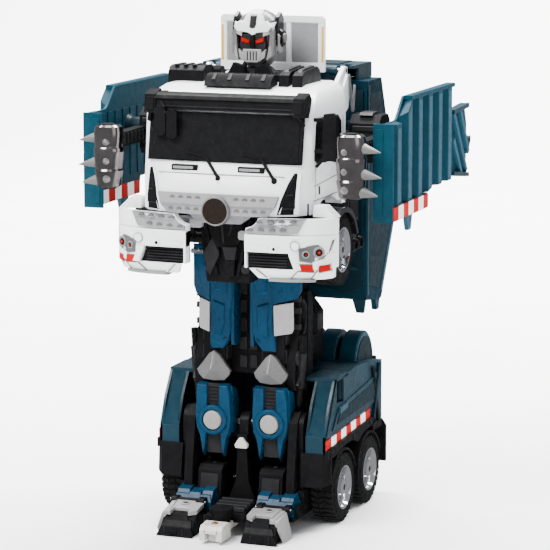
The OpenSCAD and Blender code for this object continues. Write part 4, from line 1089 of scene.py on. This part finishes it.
def head():
    cy = -33.0
    n = Shape()
    n.turned((0, cy, 383), (0, cy, 386.5), [(27.8, 0), (27.8, 0.7), (26.5, 1)], BLACK, 64)
    n.turned((0, cy, 386.5), (0, cy, 391), [(17, 0), (14, 0.4), (11, 1)], DARK_GREY, 48)
    n.tube((0, cy, 391), (0, cy, 399), 3.9, BLACK, 24)
    n.box((-3.4, -49.8, 325), (3.4, -26.2, 383), BLACK)
    for _ in n.both():
        n.tube((12, -46, 386), (8, -42, 396), 2.2, DARK_GREY, 16)
        n.deep(-56, -50, [(4, 386.5), (20, 386.5), (15, 396), (5, 393)], BLACK)
    piece(n, "neck_detail", "neck", "black_plastic", ("neck",), 0.4)

    s = Shape()
    # helmet: lofted silver shell, widest at the temples
    chin = 0.72      # share of the width where the front turns back

    def ring(z, wide, front, back):
        return [(wide * 0.45, front, z), (wide * chin, front + 1.5, z), (wide, front + 8, z),
            (wide, back - 6, z), (wide * 0.7, back, z), (-wide * 0.7, back, z), (-wide, back - 6, z),
            (-wide, front + 8, z), (-wide * chin, front + 1.5, z), (-wide * 0.45, front, z)]
    s.loft([ring(391.8, 9, -45, -23), ring(398, 13, -46.5, -19), ring(408, 16, -45.5, -17),
        ring(422, 18, -45, -16.5), ring(431, 16.5, -44.5, -18), ring(436.4, 11, -42, -22),
        ring(439.2, 5, -38, -26)], SILVER)
    # brow, crest and ear guards
    s.deep(-49.5, -44, [(-17, 426), (-12, 431), (-4, 428), (0, 424), (4, 428), (12, 431), (17, 426),
        (14, 422), (4, 421), (0, 418.5), (-4, 421), (-14, 422)], WHITE)
    s.across(-2.8, 2.8, [(-50, 425), (-47, 435), (-38, 439.8), (-24, 437), (-20, 430), (-44, 424)], GLOSS)
    for _ in s.both():
        s.turned((16, -33, 416), (23, -33, 416), [(8.5, 0), (8.5, 0.6), (6.4, 1)], GLOSS, 36)
        s.turned((22.6, -33, 416), (24.2, -33, 416), [(4.4, 0), (4.0, 1)], SILVER, 28)
        s.across(17, 20.5, [(-42, 404), (-44, 420), (-40, 434), (-33, 438), (-27, 432), (-27, 408)], GLOSS)
        s.deep(-48, -40, [(13, 398), (19, 404), (19, 422), (15.5, 426), (14, 408)], SILVER)
    piece(s, "helmet", "head", "dark_gloss_plastic", ("head",), 0.6, 3)

    c = Shape()
    # white crown plate, silver brows and side blades that frame the face
    c.loft([[(-7.5, -46.6, 421.5), (7.5, -46.6, 421.5), (8, -43.5, 421), (-8, -43.5, 421)],
        [(-9.5, -47.6, 430), (9.5, -47.6, 430), (9.5, -43, 430), (-9.5, -43, 430)],
        [(-6.5, -44.2, 437.4), (6.5, -44.2, 437.4), (6.5, -38, 438.2), (-6.5, -38, 438.2)],
        [(-4, -40, 439.6), (4, -40, 439.6), (4, -32, 439.6), (-4, -32, 439.6)]], WHITE)
    for _ in c.both():
        c.loft([[(11.2, y, 421.6), (17.4, y + 3, 424.6), (18.8, y + 7, 430), (12, y + 1, 428)]
            for y in (-48.8, -45)], WHITE)
        c.loft([[(9.4, y, 417.6), (17.6, y + 3, 420.6), (18.4, y + 5, 425), (9.8, y, 422)]
            for y in (-49.8, -46)], SHADE_LIGHT)
        c.loft([[(12.5, y, 397.5), (17.8, y + 2, 402), (19.2, y + 5, 415), (14.8, y, 409)]
            for y in (-49.6, -46)], FOOT_TOP)
        c.loft([[(18.6, -43, 404), (18.6, -31, 402), (20.8, -31, 420), (20.4, -43, 420)],
            [(20.8, -42, 405.5), (20.8, -32, 404), (22, -32, 418), (22, -42, 418)]], FOOT_TOP)
        c.deep(-50.6, -47, [(6, 396), (11.5, 400), (12.4, 407.5), (7.5, 403)], FOOT_TOP)
    piece(c, "cheek_blades", "head", "silver_plastic", (), 0.5)

    m = Shape()
    # a plain machine face: recessed mask, two straight eye slots, a mouth guard with bars
    m.loft([[(x * k, y, 409 + (z - 409) * k) for x, z in [(-11, 420), (11, 420), (12.5, 410), (8.5, 397),
        (-8.5, 397), (-12.5, 410)]] for y, k in ((-45, 1.0), (-48.4, 0.94))], DARK_GREY)
    for _ in m.both():
        m.deep(-49.4, -47.5, [(2.6, 414.2), (10.2, 417.2), (10.0, 413.4), (3.2, 411.6)], RED_LENS)
    m.deep(-50.2, -47.5, [(-1.6, 419), (1.6, 419), (2.2, 408), (-2.2, 408)], BLACK)
    m.deep(-50.8, -47.5, [(-8, 407), (8, 407), (9, 402), (5.4, 396.0), (-5.4, 396.0), (-9, 402)], FOOT_TOP)
    for x in (-4, -1.35, 1.35, 4):
        m.strip((x, -50.8, 397.6), (x, -50.8, 405.4), 0.9, 0.4, BLACK)
    piece(m, "face_mask", "head", "dark_gloss_plastic", (), 0.4)


def roof_hatch():
    s = Shape()
    s.deep(0.4, 3.4, [(-47.6, 385), (47.6, 385), (47.6, 430), (45.4, 432.4), (-45.4, 432.4), (-47.6, 430)],
        WHITE)
    for x0, x1 in ((-47.9, -42), (-17, -13), (13, 17), (42, 47.9)):
        s.box((x0, -0.7, 385.5), (x1, 1.6, 430.5), WHITE)
    s.deep(-0.95, 1.5,
        [(-47.7, 427), (47.7, 427), (47.7, 430.4), (45.6, 432.8), (-45.6, 432.8), (-47.7, 430.4)], WHITE)
    s.box((-47.7, -0.95, 384.8), (47.7, 1.5, 392), WHITE)
    for _ in s.both():
        s.box((45, -1.0, 393), (47, 0, 424), YELLOW)
        s.turned((36, 1.5, 381), (20, 1.5, 381), [(2.9, 0), (2.9, 1)], WHITE, 28)
    for x0 in (-34, 16, -9):
        s.box((x0, -1.2, 381), (x0 + 18, 3.2, 386), WHITE)
    # light grey fields between the frame strips: painted shade in the recesses
    for x0, x1 in ((-41.4, -17.6), (-12.4, 12.4), (17.6, 41.4)):
        s.deep(-0.1, 0.6, [(x0, 393), (x1, 393), (x1, 426), (x0, 426)], PANEL_GREY)
    # dark plates on the back: painted shade
    for x in (-30, 0, 30):
        s.box((x - 7, 3.2, 396), (x + 7, 4.0, 424), SHADE)
    piece(s, "roof_hatch_detail", "roof_flap", "white_plastic", ("roof_flap",), 0.6)


# ---------------------------------------------------------------- arms and side panels

def arms():
    for side, sx in SIDES:
        s = Shape(sx)
        s.turned((78, *SHOULDER), (84, *SHOULDER), [(12, 0), (12, 0.8), (10.5, 1)], BLACK, 48)
        s.across(82.5, 109.5, [(-38, 318), (-34, 312.5), (-14, 312.5), (-8, 318), (-8, 348), (-13, 352.8),
            (-30, 352.8), (-38, 346)], BLACK)
        s.across(86, 106, [(-40, 322), (-40, 344), (-37.5, 344), (-37.5, 322)], DARK_GREY)
        for z in (326, 333, 340):
            s.strip((87, -40, z), (105, -40, z), 2.4, 1.0, BLACK)
        s.across(90, 102, [(-34, 352.5), (-30, 355), (-18, 355), (-14, 352.5)], DARK_GREY)
        s.across(103.2, 112.8,
            [(-104, 326), (-106, 330), (-104, 334), (-98, 336), (-38, 337), (-38, 324), (-98, 324)], BLACK)
        for y in range(-88, -40, 8):
            s.box((102.4, y, 326), (113.4, y + 4, 335), DARK_GREY)
        s.tube((98.2, *ELBOW), (117.8, *ELBOW), 2.9, STEEL, 24)
        s.turned((109, *SHOULDER), (130, *SHOULDER), [(3.9, 0), (3.9, 1)], STEEL, 28)
        piece(s, "arm_detail_" + side, "upper_arm_" + side, "black_plastic", ("upper_arm_" + side,), 0.6)

        mx, my = 108.0, -107.0
        g = Shape(sx)
        # the shell is in the darkened, pink-tinted chrome: painted shade and painted reflection
        g.turned((mx, my, 292), (mx, my, 345), [(8.5, 0), (10, 0.02), (12, 0.22), (12.4, 0.27),
            (11.4, 0.30), (11.8, 0.34), (12.9, 0.56), (13.0, 0.62), (12.0, 0.65), (12.2, 0.69),
            (12.6, 0.88), (11.6, 0.97), (9.5, 1.0)], CHROME_SHADED, 48)
        shell = solid(g, "gauntlet_shape_" + side)
        c = Shape(sx)
        c.box((102.4, -108.2, 321.8), (113.6, -80, 350), BLACK)
        c.tube((93, *ELBOW), (118.4, *ELBOW), 3.05, BLACK, 32)
        cut(shell, solid(c, "gauntlet_cut_" + side))
        soften(shell, 0.4, 2, 35)
        settle(shell, "forearm_" + side, "silver_plastic", ("gauntlet_" + side,))
        k = Shape(sx)
        for z, tip in ((298, 24), (313, 27), (334, 26)):
            a = Vector((mx + 8, my - 1, z))
            k.turned(a, a + Vector((tip - 8, -1.5, -3)), [(5.2, 0), (4.6, 0.2), (2.6, 0.6), (0.3, 1)],
                SILVER, 28)
        for z in (300, 315, 331):
            a = Vector((mx - 2, my - 10, z))
            k.turned(a, a + Vector((-1, -5.5, 1)), [(3.6, 0), (2.8, 0.35), (0.4, 1)], SILVER, 24)
        k.turned((mx, my, 290.6), (mx, my, 292.4), [(6, 0), (8, 1)], BLACK, 32)
        k.turned((mx, my - 2, 344.6), (mx, my - 2, 346), [(7, 0), (6, 1)], BLACK, 32)
        piece(k, "gauntlet_spikes_" + side, "forearm_" + side, "silver_plastic", (), 0.3)


def side_panels():
    for side, sx in SIDES:
        body = "side_panel_" + side
        s = Shape(sx)
        main = [(-90.8, 271), (-90.8, 352.5), (-63, 353), (-58, 356), (-42, 371), (86, 371), (86, 286),
            (12, 286), (8, 271)]
        s.across(130, 132.4, main, PANEL)
        # outer corrugation: deep ribs with slanted flanks, cut to the outline; each crest carries a lighter
        # teal plate, a painted highlight
        def top(y):
            return 352.7 if y < -60 else min(371.0, y + 413)
        def low(y):
            return 284.5 if y < 10 else 287.0
        for i in range(6):
            y0 = -87 + 29.2 * i
            a = [(132, y0), (139.8, y0 + 5), (139.8, y0 + 17), (132, y0 + 22.5)]
            s.loft([[(x, y, low(y)) for x, y in a],
                [(x, y, top(y) - (0.4 if x < 133 else 1.4)) for x, y in a]], PANEL)
            b = [(139.2, y0 + 6), (139.95, y0 + 6.6), (139.95, y0 + 15.4), (139.2, y0 + 16)]
            s.loft([[(x, y, low(y) + 2) for x, y in b], [(x, y, top(y) - 5) for x, y in b]], PANEL_HIGHLIGHT)
        # rails along the top and bottom, front flange and the rear frame
        s.across(131.5, 139.5, [(-42, 368), (-42, 371.5), (86, 371.5), (86, 368)], PANEL)
        s.box((121.3, -91, 270.6), (139, -88.6, 352.4), PANEL)
        s.box((123.5, -91.8, 275), (130, -90.8, 348), PANEL)
        s.across(129.3, 138.6, [(-90.2, 271), (-90.2, 284), (8, 284), (8, 271)], TEAL_DARK)
        hazard(s, (138.4, -90.0, 277.4), (138.4, 8, 277.4), 11.6, True, 7, 0.9)
        hazard(s, (129.5, 8, 277.4), (129.5, -88, 277.4), 11.6, True, 7, 0.6, (-1, 0, 0))
        # tab below the panel in the lighter teal: painted highlight
        s.across(129.5, 133, [(-35, 271.5), (-16, 271.5), (-21, 256), (-29, 256)], PANEL_HIGHLIGHT)
        s.across(130, 134, [(86, 284), (86, 347), (92, 346.5), (134, 349), (142, 330), (142, 300),
            (138, 283), (90, 289)], PANEL)
        # braces of the rear frame in the lighter teal: painted highlight
        for y0, z0, y1, z1 in ((92, 344, 134, 288), (112, 346, 140, 304), (92, 320, 118, 287)):
            s.strip((134, y0, z0), (134, y1, z1), 5, 3.4, PANEL_HIGHLIGHT, (1, 0, 0))
        s.strip((134, 88, 345), (134, 136, 347), 4, 4.4, TEAL, (1, 0, 0))
        s.strip((134, 90, 290), (134, 138, 284), 4, 4.4, TEAL, (1, 0, 0))
        s.across(130, 136, [(135, 306), (141, 316), (149.4, 318), (149.8, 314), (144, 306)], TEAL_DARK)
        # inner face: grooves between shallow pads, and the pivot boss
        for y in range(-76, 84, 16):
            s.box((129.2, y, 290), (130.2, y + 11, min(350, top(y) - 3)), PANEL)
        s.turned((115, *SHOULDER), (130.5, *SHOULDER), [(9, 0), (9, 0.7), (12, 1)], TEAL_DARK, 40)
        s.turned((114.3, *SHOULDER), (115.2, *SHOULDER), [(6.5, 0), (7.5, 1)], BLACK, 32)
        piece(s, "panel_detail_" + side, body, "teal_plastic", ("panel_" + side,), 0.5)


# ---------------------------------------------------------------- truck body

def truck_body():
    s = Shape()
    half = 79.2
    outline = [(22, 184), (60, 178.5), (66, 180), (100.5, 242), (80, 334), (62, 376.3), (22, 376.3)]
    s.across(-half, half, outline, WALL)
    # folded side faces, frame rails and tabs below
    for _ in s.both():
        s.across(78.4, 79.7, [(30, 196), (58, 190), (88, 242), (72, 326), (58, 364), (30, 364)], TEAL_DARK)
        s.strip((79.0, 26, 188), (79.0, 26, 372), 5, 0.9, TEAL, (1, 0, 0))
        # lighter teal strips along the folded edge: painted highlight
        s.strip((79.0, 96, 242), (79.0, 64, 186), 5, 0.9, TEAL_HIGHLIGHT, (1, 0, 0))
        s.strip((79.0, 96, 243), (79.0, 77, 332), 5, 0.9, TEAL_HIGHLIGHT, (1, 0, 0))
        s.deep(21.6, 25, [(66, 185), (78.6, 185), (77, 172.3), (70, 172.3)], TEAL)
        s.across(74, 78.8, [(49, 182), (62.4, 180), (60, 170.4), (53, 170.4)], TEAL)
        s.deep(20.2, 22.2, [(14, 368), (76, 368), (76, 196), (62, 190), (18, 196)], TEAL_DARK)
        for z in (212, 244, 276, 308, 340):
            s.strip((20, 20.4, z), (72, 20.4, z), 3, 1.4, TEAL)
    # back: raised band, and ribs across the folded faces in the lighter teal, a painted highlight
    edge = [(66, 180), (100.5, 242), (80, 334), (62, 376.3)]
    for (y0, z0), (y1, z1) in zip(edge, edge[1:]):
        way = Vector((0, y1 - y0, z1 - z0)).normalized()
        out = Vector((0, way.z, -way.y))
        for x in (-60, -30, 0, 30, 60):
            s.strip((x, y0 + way.y * 5, z0 + way.z * 5), (x, y1 - way.y * 5, z1 - way.z * 5), 6, 1.4,
                TEAL_HIGHLIGHT, out)
    hazard(s, (-72, 92.4, 280), (72, 92.4, 280), 8, True, 13, 2.0, (0, 1, 0.22))
    piece(s, "box_body", "truck_body", "teal_plastic", ("box_shell",), 0.9)
    t = Shape()
    t.box((-70, 12, 387.5), (70, 62, 390), TEAL)
    for x in (-70, 67.5):
        t.box((x, 26, 376.5), (x + 2.5, 62, 388), TEAL)
    t.box((-57.5, 12, 376.5), (57.5, 14.5, 388), TEAL)
    t.box((-70, 59.5, 376.5), (70, 62, 388), TEAL)
    cutter = Shape()
    for _ in cutter.both():
        cutter.box((58.5, 5, 372), (65.5, 26, 394), TEAL)
    top = cut(solid(t, "box_lid"), solid(cutter, "lid_cut"))
    soften(top, 0.5)
    settle(top, "truck_body", "teal_plastic", ("box_roof",))
    r = Shape()
    for _ in r.both():
        r.turned((28, 10, 386), (56, 10, 386), [(4, 0), (4, 1)], TEAL, 32)
        r.box((28, 10, 382.5), (56, 14, 389.4), TEAL)
        r.box((18, 20, 389.8), (54, 56, 391), TEAL_DARK)
    # middle plate on the lid in the lighter teal: painted highlight
    r.box((-12, 20, 389.8), (12, 56, 392), TEAL_HIGHLIGHT)
    piece(r, "box_lid_detail", "truck_body", "teal_plastic", (), 0.5)


# ---------------------------------------------------------------- stage

# Floor: flat from front to back, then a curve up into a wall (metres)
FLOOR_FRONT, FLOOR_BACK, FLOOR_HALF = -4.5, 2.5, 5.0
CURVE, WALL_TOP = 0.8, 3.5
FLOOR_DROP = 0.00002

# The camera looks at AIM (millimetres) from its azimuth, elevation and distance
AIM = (46.5, -120.0, 227.0)
AZIMUTH, ELEVATION, DISTANCE = 20.25, 9.53, 2140.5
LENS, SENSOR = 169.5, 36


def stage_floor():
    bm = bmesh.new()
    bend = [math.pi / 2 * i / 10 for i in range(1, 11)]
    profile = [(FLOOR_FRONT, 0), (FLOOR_BACK, 0)]
    profile += [(FLOOR_BACK + CURVE * math.sin(a), CURVE - CURVE * math.cos(a)) for a in bend]
    profile.append((FLOOR_BACK + CURVE, WALL_TOP))
    rows = [[bm.verts.new((x, y, z - FLOOR_DROP)) for x in (-FLOOR_HALF, FLOOR_HALF)] for y, z in profile]
    for a, b in zip(rows, rows[1:]):
        bm.faces.new((a[0], a[1], b[1], b[0]))
    mesh = bpy.data.meshes.new("floor")
    bm.to_mesh(mesh)
    bm.free()
    mesh.polygons.foreach_set("use_smooth", [True] * len(mesh.polygons))
    mesh.materials.append(material("pale_floor", (0.93, 0.93, 0.93), 0.7, spot=0.01, scale=4, bump=0.0,
        dust=0.0, spec=0.2))
    floor = bpy.data.objects.new("floor", mesh)
    bpy.context.scene.collection.objects.link(floor)
    floor.visible_glossy = False


def area_light(name, at, size, power, look=(0, 0, 0.22)):
    light = bpy.data.lights.new(name, "AREA")
    light.shape = "RECTANGLE"
    light.size, light.size_y = size
    light.energy = power
    obj = bpy.data.objects.new(name, light)
    obj.location = at
    obj.rotation_euler = (Vector(look) - Vector(at)).to_track_quat("-Z", "Y").to_euler()
    bpy.context.scene.collection.objects.link(obj)


def studio():
    """Pale floor that curves up behind, a pale sky, four soft lights and the camera."""
    stage_floor()
    world = bpy.data.worlds.new("studio")
    world.use_nodes = True
    sky = world.node_tree.nodes["Background"]
    sky.inputs["Color"].default_value = (0.93, 0.96, 1.0, 1)
    sky.inputs["Strength"].default_value = 0.45
    bpy.context.scene.world = world

    area_light("key", (-0.9, -1.5, 2.1), (1.3, 1.1), 135)
    area_light("top", (0.0, -0.3, 2.2), (1.4, 1.4), 40)
    area_light("fill", (1.9, -0.9, 0.9), (1.0, 1.2), 6)
    area_light("wash", (-0.2, 1.3, 2.8), (3.4, 1.2), 800, (-0.5, 3.0, 0.3))

    data = bpy.data.cameras.new("camera")
    data.lens, data.sensor_width = LENS, SENSOR
    data.clip_start, data.clip_end = 0.05, 30
    camera = bpy.data.objects.new("camera", data)
    azimuth, elevation = math.radians(AZIMUTH), math.radians(ELEVATION)
    back = Vector((math.sin(azimuth) * math.cos(elevation), -math.cos(azimuth) * math.cos(elevation),
        math.sin(elevation)))
    camera.location = Vector(AIM) * MM + back * DISTANCE * MM
    camera.rotation_euler = (-back).to_track_quat("-Z", "Y").to_euler()
    bpy.context.scene.collection.objects.link(camera)
    bpy.context.scene.camera = camera


wheels()
rear_shell()
shell_ribs()
mud_flaps()
lower_chassis()
feet()
caster()
legs()
cab()
grille()
lamps_and_mirrors()
roof_gear()
side_gear()
waist()
bumpers()
head()
roof_hatch()
arms()
side_panels()
truck_body()
paint(BLACK, "black_plastic", "chassis_frame", "gearboxes", "battery_door", "speaker", "torso_frame",
    "power_switch")
paint(STEEL, "steel_rod", "leg_hinge_pin", "rear_axles", "torso_pins")
paint(WRAP, "battery_wrap", "battery_pack")
paint(BOARD, "circuit_board", "circuit_board")
studio()
